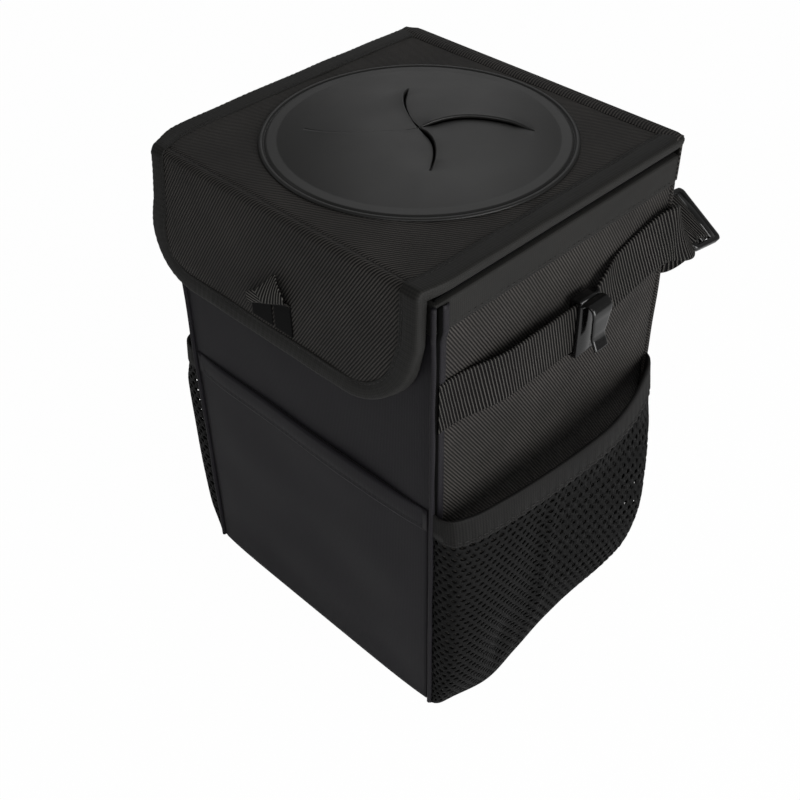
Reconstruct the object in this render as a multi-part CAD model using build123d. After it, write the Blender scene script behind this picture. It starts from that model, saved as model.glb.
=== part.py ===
"""A car trash bin: a boarded cloth box with a petal lid, a front flap, pockets and a hanging strap.

Millimetres. +X is right as seen from the front flap, +Y is the back and +Z is up.
The origin is the centre of the base, on the surface that the bin stands on.
"""
import os
from math import cos, radians, sin, tan

from build123d import *

# Size of the bin: the body is width by depth, and the height is to the top of the closed lid
body_width = 160.0
body_depth = 150.0
overall_height = 250.0

# Sheets, boards and tapes
cloth = 1.2
board = 2.0
lid_stiffener = 2.5
liner_wall = 0.8
lining = 1.0
tape = 1.0
seat_gap = 0.3
sewn_gap = 0.1

# Box body
base_corner = 3.0
liner_corner = 5.0
welt_radius = 1.5
rim_tape_drop = 16.0

# Lid, its petal cover and its cloth hinge
lid_overhang = 2.0
edge_tape_width = 11.5
fold_radius = 3.0
petal_clearance = 2.5
petal_lap = 12.0
petal_rim_width = 8.0
petal_sheet = 1.5
petal_rise = 5.0
slit_count = 4
slit_width = 0.8
slit_end_margin = 11.6
slit_turn = 65.0
slit_heading = 75.0
hinge_strip_drop = 14.0
hinge_strip_inset = 2.0

# Front flap, its pull tab and its closing patches
flap_standoff = 2.8
flap_drop = 69.0
flap_corner = 30.0
tab_sheet = 1.4
tab_leg_width = 12.8
tab_leg_gap = 1.4
tab_leg_gap_height = 13.0
tab_left_shoulder = 15.0
tab_right_shoulder = 21.0
tab_point_height = 30.5
tab_point_place = 5.0
tab_offset = -4.0
tab_bow = 3.0
tab_bow_place = 0.55
tab_tip_lift = 1.2
patch_width = 50.0
patch_height = 20.0
patch_above_tape = 1.5

# Front pocket
pocket_top = 133.2
pocket_bow = 2.5
pocket_seam = 10.0
hem_tape = 0.8
front_hem_height = 13.0

# Mesh side pockets
mesh = 1.0
mesh_top = 133.2
mesh_depth = 19.0
mesh_front_out = 11.0
mesh_front_corner = 5.0
mesh_belly_rear_out = 15.0
mesh_mouth_rear_out = 8.0
mesh_rear_corner = 7.0
mesh_gather_height = 34.0
mesh_toe = 7.0
mesh_toe_rise = 30.0
mesh_belly_out = 0.75
mesh_belly_up = 0.32
mesh_foot = 1.5
mesh_hem_height = 14.5
net_hole_width = 6.0
net_hole_height = 8.0
net_pitch = 10.0
net_row_rise = 12.5
net_low_row = 38.0

# Hanging strap, from one front corner round the back to the other
strap_width = 25.0
strap_sheet = 1.6
strap_drop = 59.5
strap_stand = 6.0
strap_sewn_length = 9.0
strap_lift_length = 26.0
strap_bend = 40.0
strap_back_stand = 13.0
strap_corner = 16.0
strap_twist_end = 52.0

# How the strap rises from the hook to the rear corner. Each place is given by its share of the way,
# its lift and its turn.
strap_rise = [
    (0.15, 6.5, -10.0),
    (0.32, 12.5, -14.0),
    (0.5, 15.8, -10.0),
    (0.7, 17.0, -4.0),
    (0.86, 16.5, 4.0),
]

# How the strap turns on its way to the slider and on behind it. Each place is given by how far it
# lies out from the straight run, how far behind the body or the rear run, its lift, and its turn.
strap_approach = [
    (1.0, -4.5, 15.0, 14.0),
    (1.6, 2.5, 12.7, 27.0),
    (-1.6, 8.5, 10.3, 45.0),
]
strap_leaving = [(-24.0, 4.5, -4.5, -50.0), (-36.0, 1.5, -2.0, -15.0)]
slot_turn_steps = 2

# Strap slider, a plate with two slots that hangs behind the right rear corner
slider_length = 31.0
slider_width = 22.0
slider_sheet = 3.0
slider_bar = 3.25
slider_middle_bar = 4.5
slider_corner = 3.0
slider_edge = 0.8
slider_roll_angle = 60.0
slider_pitch_angle = -10.0
slider_out = -2.5
slider_back = 23.0
slider_lift = 7.0
slider_strap_gap = 0.15
slot_side_gap = 0.5

# Hooks that slide on the strap
hook_wall = 2.0
hook_corner = 1.5
hook_length = 12.5
hook_place = 9.75
hook_end_gap = 1.0
hook_fit = 0.3
hook_leaf = 1.8
hook_throat_gap = 4.4
hook_throat_width = 8.5
hook_leaf_length = 13.0
hook_leaf_lean_angle = 4.0
hook_tip_length = 6.0
hook_tip_flare_angle = 27.0
hook_tip_bend = 2.5

# Places that follow from the sizes above
half_width = body_width / 2
half_depth = body_depth / 2
lid_half = half_width + lid_overhang
stack_half = lid_half - tape
lid_bottom = overall_height - 2 * tape - lining - lid_stiffener - cloth
rim_top = lid_bottom - seat_gap
wall_top = rim_top - tape
rim_tape_foot = rim_top - rim_tape_drop
lid_lining_foot = lid_bottom + tape
lid_board_foot = lid_lining_foot + lining
lid_cloth_foot = lid_board_foot + lid_stiffener
lid_cloth_top = lid_cloth_foot + cloth
lid_rear = half_depth + tape
petal_radius = min(lid_half - edge_tape_width, half_depth) - petal_clearance
petal_inner_radius = petal_radius - petal_rim_width
lid_opening_radius = petal_radius - petal_lap

flap_inner = -half_depth - flap_standoff
flap_lining_face = flap_inner - tape
flap_board_face = flap_lining_face - lining
flap_cloth_face = flap_board_face - board
flap_face = flap_cloth_face - cloth
flap_outer = flap_face - tape
flap_bottom = overall_height - flap_drop
bend_y = flap_face + fold_radius
bend_z = lid_cloth_top - fold_radius

mesh_half = half_depth - cloth - mesh - hem_tape - sewn_gap

strap_x = half_width + strap_stand
strap_mid_height = overall_height - strap_drop
strap_low = strap_mid_height - strap_width / 2
strap_high = strap_mid_height + strap_width / 2
strap_straight_end = hook_place + hook_length / 2 + hook_end_gap


def block(x_range, y_range, z_range):
    """A box between two corners, given as a pair of ends along each axis."""
    ends = [sorted(pair) for pair in (x_range, y_range, z_range)]
    middle = [(low + high) / 2 for low, high in ends]
    return Pos(*middle) * Box(*[high - low for low, high in ends])


def upright(face, z_range):
    """A flat face carried up from the first height to the second."""
    return Pos(0, 0, z_range[0]) * extrude(face, amount=z_range[1] - z_range[0])


def front_layer(face, y_inner, y_outer):
    """A face drawn in x and height, made a layer between two depths on the front."""
    return extrude(Plane.XZ.offset(-y_inner) * face, amount=y_inner - y_outer)


def across(face, half_length):
    """A face drawn in depth and height, carried both ways along the width."""
    return extrude(Plane.YZ * face, amount=half_length, both=True)


# Box body


def base_panel():
    """The cloth under the base, which the bin stands on."""
    return upright(RectangleRounded(body_width, body_depth, base_corner), (0, cloth))


def end_panel(side):
    """Front or rear cloth wall, with the rolled welt of the corner seam down both edges."""
    outer = side * half_depth
    wall = block((-half_width, half_width), (outer - side * cloth, outer), (cloth, wall_top))
    welt_y = outer + side * (welt_radius - cloth)
    welt_height = rim_tape_foot - cloth
    foot = (Align.CENTER, Align.CENTER, Align.MIN)
    for edge in (-half_width, half_width):
        wall += Pos(edge, welt_y, cloth) * Cylinder(welt_radius, welt_height, align=foot)
    return wall


def side_panel(side):
    """Left or right cloth wall, between the front and rear ones."""
    outer = side * half_width
    inner_depth = half_depth - cloth
    return block((outer - side * cloth, outer), (-inner_depth, inner_depth), (cloth, wall_top))


def base_board():
    """Stiff board on the floor of the bin."""
    x_half = half_width - cloth
    y_half = half_depth - cloth
    return block((-x_half, x_half), (-y_half, y_half), (cloth, cloth + board))


def end_board(side):
    """Stiff board behind the front or rear cloth."""
    x_half = half_width - cloth
    outer = side * (half_depth - cloth)
    return block((-x_half, x_half), (outer - side * board, outer), (cloth + board, wall_top))


def side_board(side):
    """Stiff board behind the left or right cloth, between the end boards."""
    y_half = half_depth - cloth - board
    outer = side * (half_width - cloth)
    return block((outer - side * board, outer), (-y_half, y_half), (cloth + board, wall_top))


def liner_outline(inset):
    """Outline of the leakproof liner, moved in by an inset from its outer face."""
    width = body_width - 2 * (cloth + board + inset)
    depth = body_depth - 2 * (cloth + board + inset)
    return RectangleRounded(width, depth, liner_corner - inset)


def liner():
    """Welded leakproof bag that lines the boards, open at the top."""
    floor = cloth + board
    bag = upright(liner_outline(0), (floor, wall_top))
    return bag - upright(liner_outline(liner_wall), (floor + liner_wall, wall_top))


def rim_tape():
    """Tape folded over the rim, with a leg outside the cloth and a leg inside the liner."""
    outside = RectangleRounded(body_width + 2 * tape, body_depth + 2 * tape, tape)
    tape_ring = outside - liner_outline(liner_wall + tape)
    walls = Rectangle(body_width, body_depth) - liner_outline(liner_wall)
    return upright(tape_ring, (rim_tape_foot, rim_top)) - upright(walls, (rim_tape_foot, wall_top))


# Front pocket


def pocket_block(grow, z_range):
    """Space between the front cloth and the pocket's inner face, grown outwards by a thickness.

    Each level is a flat segment under an arc, and the arc bows out further as it rises.
    """
    half = half_width - welt_radius - cloth - hem_tape - sewn_gap + grow
    levels = []
    for height in z_range:
        bow = pocket_bow * (height - cloth) / (pocket_top - cloth) + grow
        arc = ThreePointArc((-half, -half_depth), (0, -half_depth - bow), (half, -half_depth))
        levels.append(Pos(0, 0, height) * make_face([arc, Line(arc @ 1, arc @ 0)]))
    return loft(levels, ruled=True)


def front_pocket():
    """Cloth pocket over the lower front, sewn flat at its foot and sides and bowed at its mouth."""
    return pocket_block(cloth, (cloth, pocket_top)) - pocket_block(0, (cloth + pocket_seam, pocket_top))


def front_pocket_hem(pocket):
    """Tape folded over the mouth of the front pocket."""
    hem_top = pocket_top + hem_tape
    ends = (hem_top - front_hem_height, hem_top)
    return pocket_block(cloth + hem_tape, ends) - pocket_block(-hem_tape, ends) - pocket


# Mesh side pockets, drawn on the right


def mesh_plan(grow, rear_out):
    """The right mesh pocket seen from above, grown outwards by a thickness.

    It is a long bow with a tight corner at the front and a softer one at the rear.
    """
    half = mesh_half + grow
    front_x = half_width + mesh_front_out + grow
    rear_x = half_width + rear_out + grow
    front_radius = mesh_front_corner + grow
    rear_radius = mesh_rear_corner + grow
    front_end = CenterArc((front_x - front_radius, front_radius - half), front_radius, 270, 90)
    rear_end = CenterArc((rear_x - rear_radius, half - rear_radius), rear_radius, 0, 90)
    bow = ThreePointArc(front_end @ 1, (half_width + mesh_depth + grow, 0), rear_end @ 0)
    sides = Polyline(rear_end @ 1, (half_width, half), (half_width, -half), front_end @ 0)
    return make_face([front_end, bow, rear_end, sides])


def mesh_block(grow, z_range):
    """Space inside the right mesh pocket, grown outwards by a thickness, between two heights.

    Its foot tucks in to the base, and its rear end is drawn in from the belly to the mouth.
    """
    foot = mesh_foot + mesh - grow
    mouth = mesh_top + hem_tape
    gather = mouth - mesh_gather_height
    belly_plan = mesh_plan(grow, mesh_belly_rear_out)
    mouth_plan = mesh_plan(grow, mesh_mouth_rear_out)
    bag = upright(belly_plan, (foot, gather))
    bag += loft([Pos(0, 0, gather) * belly_plan, Pos(0, 0, mouth) * mouth_plan], ruled=True)

    face_x = half_width + mesh_depth + grow
    toe = (half_width + mesh_toe + grow, foot)
    shin = (face_x + seat_gap, foot + mesh_toe_rise)
    belly = (toe[0] + (shin[0] - toe[0]) * mesh_belly_out, foot + mesh_toe_rise * mesh_belly_up)
    tuck = ThreePointArc(toe, belly, shin)
    wall_line = Polyline(shin, (shin[0], mouth), (half_width, mouth), (half_width, foot), toe)
    profile = extrude(Plane.XZ * make_face([tuck, wall_line]), amount=half_depth, both=True)
    span = block((half_width, shin[0]), (-half_depth, half_depth), z_range)
    return bag & profile & span


def net_holes():
    """The open holes of the right pocket's net, in staggered rows."""
    half_hole = net_hole_width / 2
    rise = net_hole_height / 2
    diamond = Polyline((-half_hole, 0), (0, -rise), (half_hole, 0), (0, rise), close=True)
    hole = extrude(Plane.YZ * make_face(diamond), amount=mesh_depth)
    net_end = mesh_half - mesh_depth
    columns = int((2 * net_end - net_pitch / 2) // net_pitch)
    rows = int((mesh_top - mesh_hem_height - net_low_row) // net_row_rise)
    holes = []
    for row in range(rows):
        stagger = net_pitch / 4 if row % 2 else -net_pitch / 4
        height = net_low_row + row * net_row_rise
        for column in range(columns):
            along = (column - (columns - 1) / 2) * net_pitch + stagger
            holes.append(Pos(half_width + mesh_depth / 2, along, height) * hole)
    return holes


def mesh_pocket():
    """Right mesh pocket: a net wall that bellies out from the side and tucks in at its foot."""
    wall = mesh_block(mesh, (0, mesh_top)) - mesh_block(0, (0, mesh_top))
    return wall - net_holes()


def mesh_hem(pocket):
    """Elastic tape folded over the mouth of the right mesh pocket."""
    hem_top = mesh_top + hem_tape
    ends = (hem_top - mesh_hem_height, hem_top)
    return mesh_block(mesh + hem_tape, ends) - mesh_block(-hem_tape, ends) - pocket


# Lid


def mitre(place):
    """The line on which flap and lid meet inside the fold: its height at a depth, or depth at a height."""
    return lid_cloth_top + flap_face - place


def fold_bend(start_angle, end_angle):
    """Part of the rounded cloth bend between lid and flap, between two angles about its centre."""
    turn = end_angle - start_angle
    outer = CenterArc((bend_y, bend_z), fold_radius, start_angle, turn)
    inner = CenterArc((bend_y, bend_z), fold_radius - cloth, start_angle, turn)
    sides = [Line(outer @ 0, inner @ 0), Line(outer @ 1, inner @ 1)]
    return across(make_face([outer, inner, *sides]), stack_half)


def lid_sheet(front, z_range):
    """One layer of the lid, from its front edge to the hinge, with the round opening cut out."""
    opening = upright(Circle(lid_opening_radius), z_range)
    return block((-stack_half, stack_half), (front, lid_rear), z_range) - opening


def lid_panel():
    """Outer cloth of the lid, with its half of the front bend."""
    return lid_sheet(bend_y, (lid_cloth_foot, lid_cloth_top)) + fold_bend(90, 135)


def lid_tape(side):
    """Tape folded over the left or right edge of the lid."""
    edge = side * lid_half
    inner = edge - side * edge_tape_width
    front = flap_inner + tape
    wrap = block((inner, edge), (front, lid_rear), (lid_bottom, overall_height))
    stack = block((inner, side * stack_half), (front, lid_rear), (lid_lining_foot, lid_cloth_top))
    return wrap - stack


def slit(turn):
    """One curved slit from the centre of the petal cover, turned to its place."""
    half_turn = radians(slit_turn / 2)
    chord = petal_inner_radius - slit_end_margin
    sag = chord / 2 * tan(half_turn / 2)
    arc = ThreePointArc((0, 0), (chord / 2, sag), (chord, 0))
    face = Rot(0, 0, slit_heading - slit_turn / 2 + turn) * trace(arc, line_width=slit_width)
    return upright(face, (lid_cloth_top, lid_cloth_top + 2 * petal_sheet + petal_rise))


def petal_cover():
    """Moulded flexible disc on the lid: a low dome cut into curved petals inside a sewn rim."""
    seat = lid_cloth_top
    rim = seat + petal_sheet
    sphere = (petal_inner_radius**2 + petal_rise**2) / (2 * petal_rise)
    balls = [Pos(0, 0, foot + petal_rise - sphere) * Rot(90, 0, 0) * Sphere(sphere) for foot in (rim, seat)]
    dome = (upright(Circle(petal_inner_radius), (seat, rim + petal_rise)) & balls[0]) - balls[1]
    cover = upright(Circle(petal_radius) - Circle(petal_inner_radius), (seat, rim)) + dome
    for number in range(slit_count):
        cover -= slit(number * 360 / slit_count)
    return cover


def hinge_strip():
    """Cloth that joins the back edge of the lid to the rear wall."""
    x_half = half_width - hinge_strip_inset
    return block((-x_half, x_half), (lid_rear, lid_rear + tape), (rim_top - hinge_strip_drop, lid_cloth_top))


# Front flap


def flap_outline(inset, top):
    """Outline of the flap with its two round lower corners, moved in by an inset."""
    half = lid_half - inset
    foot = flap_bottom + inset
    corner = flap_corner - inset
    left = CenterArc((corner - half, foot + corner), corner, 180, 90)
    right = CenterArc((half - corner, foot + corner), corner, 270, 90)
    sides = Polyline(right @ 1, (half, top), (-half, top), left @ 0)
    return make_face([left, Line(left @ 1, right @ 0), right, sides])


def flap_panel():
    """Outer cloth of the flap, with its half of the bend to the lid."""
    return front_layer(flap_outline(tape, bend_z), flap_cloth_face, flap_face) + fold_bend(135, 180)


def flap_board():
    """Stiff board inside the flap."""
    top = mitre(flap_board_face) - seat_gap
    return front_layer(flap_outline(tape, top), flap_board_face, flap_cloth_face)


def flap_lining():
    """Lining on the inner side of the flap."""
    top = mitre(flap_lining_face) - seat_gap
    return front_layer(flap_outline(tape, top), flap_lining_face, flap_board_face)


def flap_tape():
    """Tape folded over the sides and foot of the flap."""
    top = mitre(flap_inner) - seat_gap
    wrap = front_layer(flap_outline(0, top), flap_inner, flap_outer)
    stack = front_layer(flap_outline(tape, top), flap_lining_face, flap_face)
    middle = front_layer(flap_outline(edge_tape_width, top), flap_inner, flap_outer)
    return wrap - stack - middle


def pull_tab():
    """Ribbon folded to a point above two legs, sewn over the flap's lower tape and bowed off the flap."""
    foot = flap_bottom + edge_tape_width + sewn_gap
    top = foot + tab_point_height
    seat = flap_face - tab_sheet / 2
    belly = (seat - tab_bow, foot + tab_point_height * tab_bow_place)
    bow = ThreePointArc((seat, foot), belly, (seat - tab_tip_lift, top))
    sheet = across(trace(bow, line_width=tab_sheet), 2 * tab_leg_width)
    room = block((-body_width, body_width), (flap_face, flap_face - body_depth), (foot, top))
    half = tab_leg_width + tab_leg_gap / 2
    outline = Polyline(
        (tab_offset - half, foot),
        (tab_offset + half, foot),
        (tab_offset + half, foot + tab_right_shoulder),
        (tab_offset + tab_point_place, top),
        (tab_offset - half, foot + tab_left_shoulder),
        close=True,
    )
    slot = Pos(tab_offset, foot + tab_leg_gap_height / 2) * Rectangle(tab_leg_gap, tab_leg_gap_height)
    return sheet & room & front_layer(make_face(outline) - slot, flap_face, flap_face - body_depth)


def patch_layer(y_inner, y_outer):
    """One closing patch, as high on the flap as its lower tape allows."""
    foot = flap_bottom + edge_tape_width + patch_above_tape
    return block((-patch_width / 2, patch_width / 2), (y_inner, y_outer), (foot, foot + patch_height))


def closing_patches():
    """Loop patch on the front wall and hook patch on the flap, which face each other."""
    thickness = (flap_standoff + tape - seat_gap) / 2
    loop = patch_layer(-half_depth, -half_depth - thickness)
    hook = patch_layer(flap_lining_face, flap_lining_face + thickness)
    return loop, hook


# Strap and slider

slider_middle = Vector(half_width + slider_out, half_depth + slider_back, strap_mid_height + slider_lift)
slider_run = Vector(0, cos(radians(slider_pitch_angle)), sin(radians(slider_pitch_angle)))
slider_lift_axis = Vector(0, -sin(radians(slider_pitch_angle)), cos(radians(slider_pitch_angle)))


def strap_width_axis(roll):
    """Direction across the webbing, from its upper edge to its lower one, at a given roll."""
    return Vector(1, 0, 0) * sin(radians(roll)) - slider_lift_axis * cos(radians(roll))


slider_across = strap_width_axis(slider_roll_angle)
slider_normal = slider_across.cross(slider_run)
slider_plane = Plane(slider_middle, x_dir=slider_across, z_dir=slider_normal)


def strap_slider():
    """Moulded slider: a rounded plate with two slots, and a bar between them."""
    outline = RectangleRounded(slider_length, slider_width, slider_corner)
    plate = extrude(outline, amount=slider_sheet / 2, both=True)
    plate = chamfer(plate.faces().filter_by(Axis.Z).edges(), slider_edge)
    slot_length = strap_width + 2 * slot_side_gap
    slot_depth = (slider_width - slider_middle_bar) / 2 - slider_bar
    slot_y = (slider_middle_bar + slot_depth) / 2
    for side in (-1, 1):
        plate -= Pos(0, side * slot_y, 0) * Box(slot_length, slot_depth, 2 * slider_sheet)
    return slider_plane * plate


def webbing_section(middle, width_axis, heading):
    """Cross-section of the webbing at a place on its route."""
    return Plane(middle, x_dir=width_axis, z_dir=heading) * Rectangle(strap_width, strap_sheet)


def slider_point(along, above):
    """A place on the slider's middle line, along its run and above its plate."""
    return slider_middle + slider_run * along + slider_normal * above


def strap_twist():
    """Webbing from the straight run on the right, over the slider and down to the straight run behind."""
    plumb = Vector(0, 0, -1)
    back = Vector(0, 1, 0)
    leftward = Vector(-1, 0, 0)
    over = slider_sheet / 2 + strap_sheet / 2 + slider_strap_gap
    turn_place = slider_middle_bar / 2 + slider_strap_gap
    stations = [(Vector(strap_x, strap_straight_end, strap_mid_height), plumb, back)]
    rise_length = half_depth + strap_approach[0][1] - strap_straight_end
    for share, lift, roll in strap_rise:
        middle = Vector(strap_x, strap_straight_end + share * rise_length, strap_mid_height + lift)
        stations.append((middle, strap_width_axis(roll), slider_run))
    for out, behind, lift, roll in strap_approach:
        middle = Vector(strap_x + out, half_depth + behind, strap_mid_height + lift)
        stations.append((middle, strap_width_axis(roll), slider_run))
    stations.append((slider_point(-slider_width / 2, over), slider_across, slider_run))
    for step in range(slot_turn_steps + 1):
        angle = radians(90 * step / slot_turn_steps)
        middle = slider_point(turn_place + over * sin(angle), over * cos(angle))
        heading = slider_run * cos(angle) - slider_normal * sin(angle)
        stations.append((middle, slider_across, heading))
    stations.append((slider_point(turn_place + over, -slider_sheet * 2), slider_across, -slider_normal))
    straight_y = half_depth + strap_back_stand
    for out, behind, lift, pitch in strap_leaving:
        middle = Vector(strap_x + out, straight_y + behind, strap_mid_height + lift)
        heading = leftward * cos(radians(pitch)) - plumb * sin(radians(pitch))
        width_axis = plumb * cos(radians(pitch)) + leftward * sin(radians(pitch))
        stations.append((middle, width_axis, heading))
    stations.append((Vector(strap_x - strap_twist_end, straight_y, strap_mid_height), plumb, leftward))
    sections = [webbing_section(*station) for station in stations]
    return loft(sections, ruled=True), stations[-1][0]


def webbing_run(points, bends):
    """A level run of webbing on edge, along straight stretches joined by round bends."""
    path = FilletPolyline(*points, radius=bends)
    return upright(trace(path, line_width=strap_sheet), (strap_low, strap_high))


def carry_strap():
    """Webbing strap, sewn into both front corner seams and passed through the slider behind."""
    sewn_x = half_width + strap_sheet / 2
    sewn_end = cloth - half_depth + sewn_gap
    sewn_stop = sewn_end + strap_sewn_length
    lifted = sewn_stop + strap_lift_length
    twist, behind = strap_twist()
    right_route = [(sewn_x, sewn_end), (sewn_x, sewn_stop), (strap_x, lifted), (strap_x, strap_straight_end)]
    left_route = [(-x, y) for x, y in right_route[:3]]
    rear_route = [(behind.X, behind.Y), (-strap_x, behind.Y), *reversed(left_route)]
    right_run = webbing_run(right_route, [strap_bend, strap_bend])
    rear_run = webbing_run(rear_route, [strap_corner, strap_bend, strap_bend])
    return right_run + twist + rear_run


# Hooks


def strap_hook():
    """Right hook: a loop round the strap, and a sprung leaf that arches over and flares at its tip."""
    slot_in = strap_x - strap_sheet / 2 - hook_fit
    slot_out = strap_x + strap_sheet / 2 + hook_fit
    loop_height = strap_width + 2 * (hook_fit + hook_wall)
    loop_width = slot_out - slot_in + 2 * hook_wall
    loop = RectangleRounded(loop_width, loop_height, hook_corner)
    loop -= Rectangle(slot_out - slot_in, strap_width + 2 * hook_fit)
    loop = Pos((slot_in + slot_out) / 2, strap_mid_height) * loop

    # The arch is as wide as the throat and the leaf's lean make it, and level with the loop at its top
    lean = radians(hook_leaf_lean_angle)
    flare = radians(hook_tip_flare_angle)
    leg_x = slot_out + hook_wall / 2
    throat_x = slot_out + hook_wall + hook_throat_gap + hook_leaf / 2
    arch_radius = (throat_x - leg_x + hook_leaf_length * sin(lean)) / (1 + cos(lean))
    arch_z = strap_mid_height + loop_height / 2 - hook_leaf / 2 - arch_radius
    arch = CenterArc((leg_x + arch_radius, arch_z), arch_radius, 180, -180 - hook_leaf_lean_angle)
    throat_z = arch_z - arch_radius * sin(lean) - hook_leaf_length * cos(lean)
    tip_x = throat_x + hook_tip_length * sin(flare)
    tip_z = throat_z - hook_tip_length * cos(flare)
    leaf = FilletPolyline(arch @ 1, (throat_x, throat_z), (tip_x, tip_z), radius=hook_tip_bend)

    # Seen from the side, the leaf narrows from the arch to its throat
    half = hook_length / 2
    half_throat = hook_throat_width / 2
    low = tip_z - hook_leaf
    taper = Polyline(
        (-half, arch_z),
        (-half_throat, throat_z),
        (-half_throat, low),
        (half_throat, low),
        (half_throat, throat_z),
        (half, arch_z),
        (half, arch_z + arch_radius),
        (-half, arch_z + arch_radius),
        close=True,
    )
    body = extrude(Plane.XZ * (loop + trace(arch, line_width=hook_leaf)), amount=half, both=True)
    spring = extrude(Plane.XZ * trace(leaf, line_width=hook_leaf), amount=half, both=True)
    spring &= extrude(Plane.YZ * make_face(taper), amount=tip_x + hook_leaf)
    return Pos(0, hook_place, 0) * (body + spring)


def left_of(part):
    """The same piece on the left side of the bin."""
    return mirror(part, about=Plane.YZ)


# The assembly, one entry for each piece

right_net = mesh_pocket()
right_net_hem = mesh_hem(right_net)
right_hook = strap_hook()
front_net = front_pocket()
loop_patch, hook_patch = closing_patches()

pieces = {
    "base_panel": base_panel(),
    "front_panel": end_panel(-1),
    "rear_panel": end_panel(1),
    "left_panel": side_panel(-1),
    "right_panel": side_panel(1),
    "base_board": base_board(),
    "front_board": end_board(-1),
    "rear_board": end_board(1),
    "left_board": side_board(-1),
    "right_board": side_board(1),
    "liner": liner(),
    "rim_tape": rim_tape(),
    "front_pocket": front_net,
    "front_pocket_hem": front_pocket_hem(front_net),
    "right_mesh_pocket": right_net,
    "right_mesh_hem": right_net_hem,
    "left_mesh_pocket": left_of(right_net),
    "left_mesh_hem": left_of(right_net_hem),
    "carry_strap": carry_strap(),
    "strap_slider": strap_slider(),
    "loop_patch": loop_patch,
    "hinge_strip": hinge_strip(),
    "right_hook": right_hook,
    "left_hook": left_of(right_hook),
    "lid_panel": lid_panel(),
    "lid_board": lid_sheet(mitre(lid_board_foot), (lid_board_foot, lid_cloth_foot)),
    "lid_lining": lid_sheet(mitre(lid_lining_foot), (lid_lining_foot, lid_board_foot)),
    "lid_tape_left": lid_tape(-1),
    "lid_tape_right": lid_tape(1),
    "petal_cover": petal_cover(),
    "flap_panel": flap_panel(),
    "flap_board": flap_board(),
    "flap_lining": flap_lining(),
    "flap_tape": flap_tape(),
    "pull_tab": pull_tab(),
    "hook_patch": hook_patch,
}

os.makedirs("parts", exist_ok=True)
for name, piece in pieces.items():
    export_step(piece, f"parts/{name}.step")
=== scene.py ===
# %% [markdown]
# # A car trash bin in cloth, net and rubber
#
# The bin is a box of cloth sewn over boards. Its lid carries a domed rubber cover cut into four petals, a
# flap folds down over the front, and pockets of cloth and net are sewn to three sides. The CAD frame
# fixes the main sizes and places. This lesson sews a detailed skin over it, one piece at a time, and then
# lights it.

# %% Load the frame
from math import cos, pi, radians, sin

import bmesh
import bpy
import numpy as np
from mathutils import Matrix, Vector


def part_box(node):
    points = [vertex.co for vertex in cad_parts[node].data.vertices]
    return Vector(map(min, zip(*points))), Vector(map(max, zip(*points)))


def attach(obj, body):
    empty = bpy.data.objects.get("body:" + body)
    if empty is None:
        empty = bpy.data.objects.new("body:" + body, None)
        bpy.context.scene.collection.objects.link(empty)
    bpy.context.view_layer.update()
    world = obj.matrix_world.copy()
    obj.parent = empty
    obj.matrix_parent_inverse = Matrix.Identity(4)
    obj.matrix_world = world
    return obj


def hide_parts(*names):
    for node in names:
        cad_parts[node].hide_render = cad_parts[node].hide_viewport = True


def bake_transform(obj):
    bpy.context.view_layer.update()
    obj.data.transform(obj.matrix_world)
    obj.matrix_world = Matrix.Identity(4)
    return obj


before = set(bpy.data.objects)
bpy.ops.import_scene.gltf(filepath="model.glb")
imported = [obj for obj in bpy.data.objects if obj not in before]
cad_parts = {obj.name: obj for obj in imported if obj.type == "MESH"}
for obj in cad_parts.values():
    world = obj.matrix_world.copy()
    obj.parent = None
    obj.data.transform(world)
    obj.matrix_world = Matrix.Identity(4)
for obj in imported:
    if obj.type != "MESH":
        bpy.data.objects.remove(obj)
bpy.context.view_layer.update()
mm = 0.001
print("CAD nodes:", len(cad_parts))

# %% [markdown]
# The main sizes are read from CAD nodes, so the skin fits the boards under it. What the solids don't
# hold, such as the pitch of a weave or the drape of a pocket, is written in this lesson in millimetres.

# %% Read the main sizes
def box_mm(node):
    """Lowest and highest corner of a CAD node, in millimetres."""
    low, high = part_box(node)
    return np.array(low) / mm, np.array(high) / mm


half_width, half_depth, cloth = box_mm("base_panel")[1]
rim_foot = box_mm("rim_tape")[0][2]
cad_rim_top = box_mm("rim_tape")[1][2]
lid_half, lid_rear, lid_tape_top = box_mm("lid_tape_right")[1]
tape_width = lid_half - box_mm("lid_tape_right")[0][0]
lid_top = box_mm("lid_panel")[1][2]
flap_face = box_mm("flap_panel")[0][1]
flap_foot = box_mm("flap_tape")[0][2]
tape = lid_tape_top - lid_top
fold_radius = 3.0
flap_corner = 30.0
print("half width, half depth, lid top:", half_width, half_depth, lid_top)

# %% [markdown]
# The camera stands where the photograph was taken from: in front of the right corner, about 41 degrees
# above the horizon. Its place and aim were fitted to the corners of the box, whose size is known, so no
# shift is needed. A camera looks along its own -Z, so its matrix holds its right, up and backward
# directions.

# %% The camera
camera_place = np.array([307.4, -319.1, 485.1])
camera_aim = np.array([-0.53634, 0.53315, -0.65428])
camera_roll = radians(-0.81)
camera_lens = 52.06
camera_sensor = 36.0


def placed(right, up, back, place):
    """Matrix of a thing at a place in millimetres, from its own right, up and backward directions."""
    matrix = np.eye(4)
    matrix[:3] = np.stack([right, up, back, np.asarray(place) * mm], axis=1)
    return Matrix(matrix.tolist())


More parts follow.
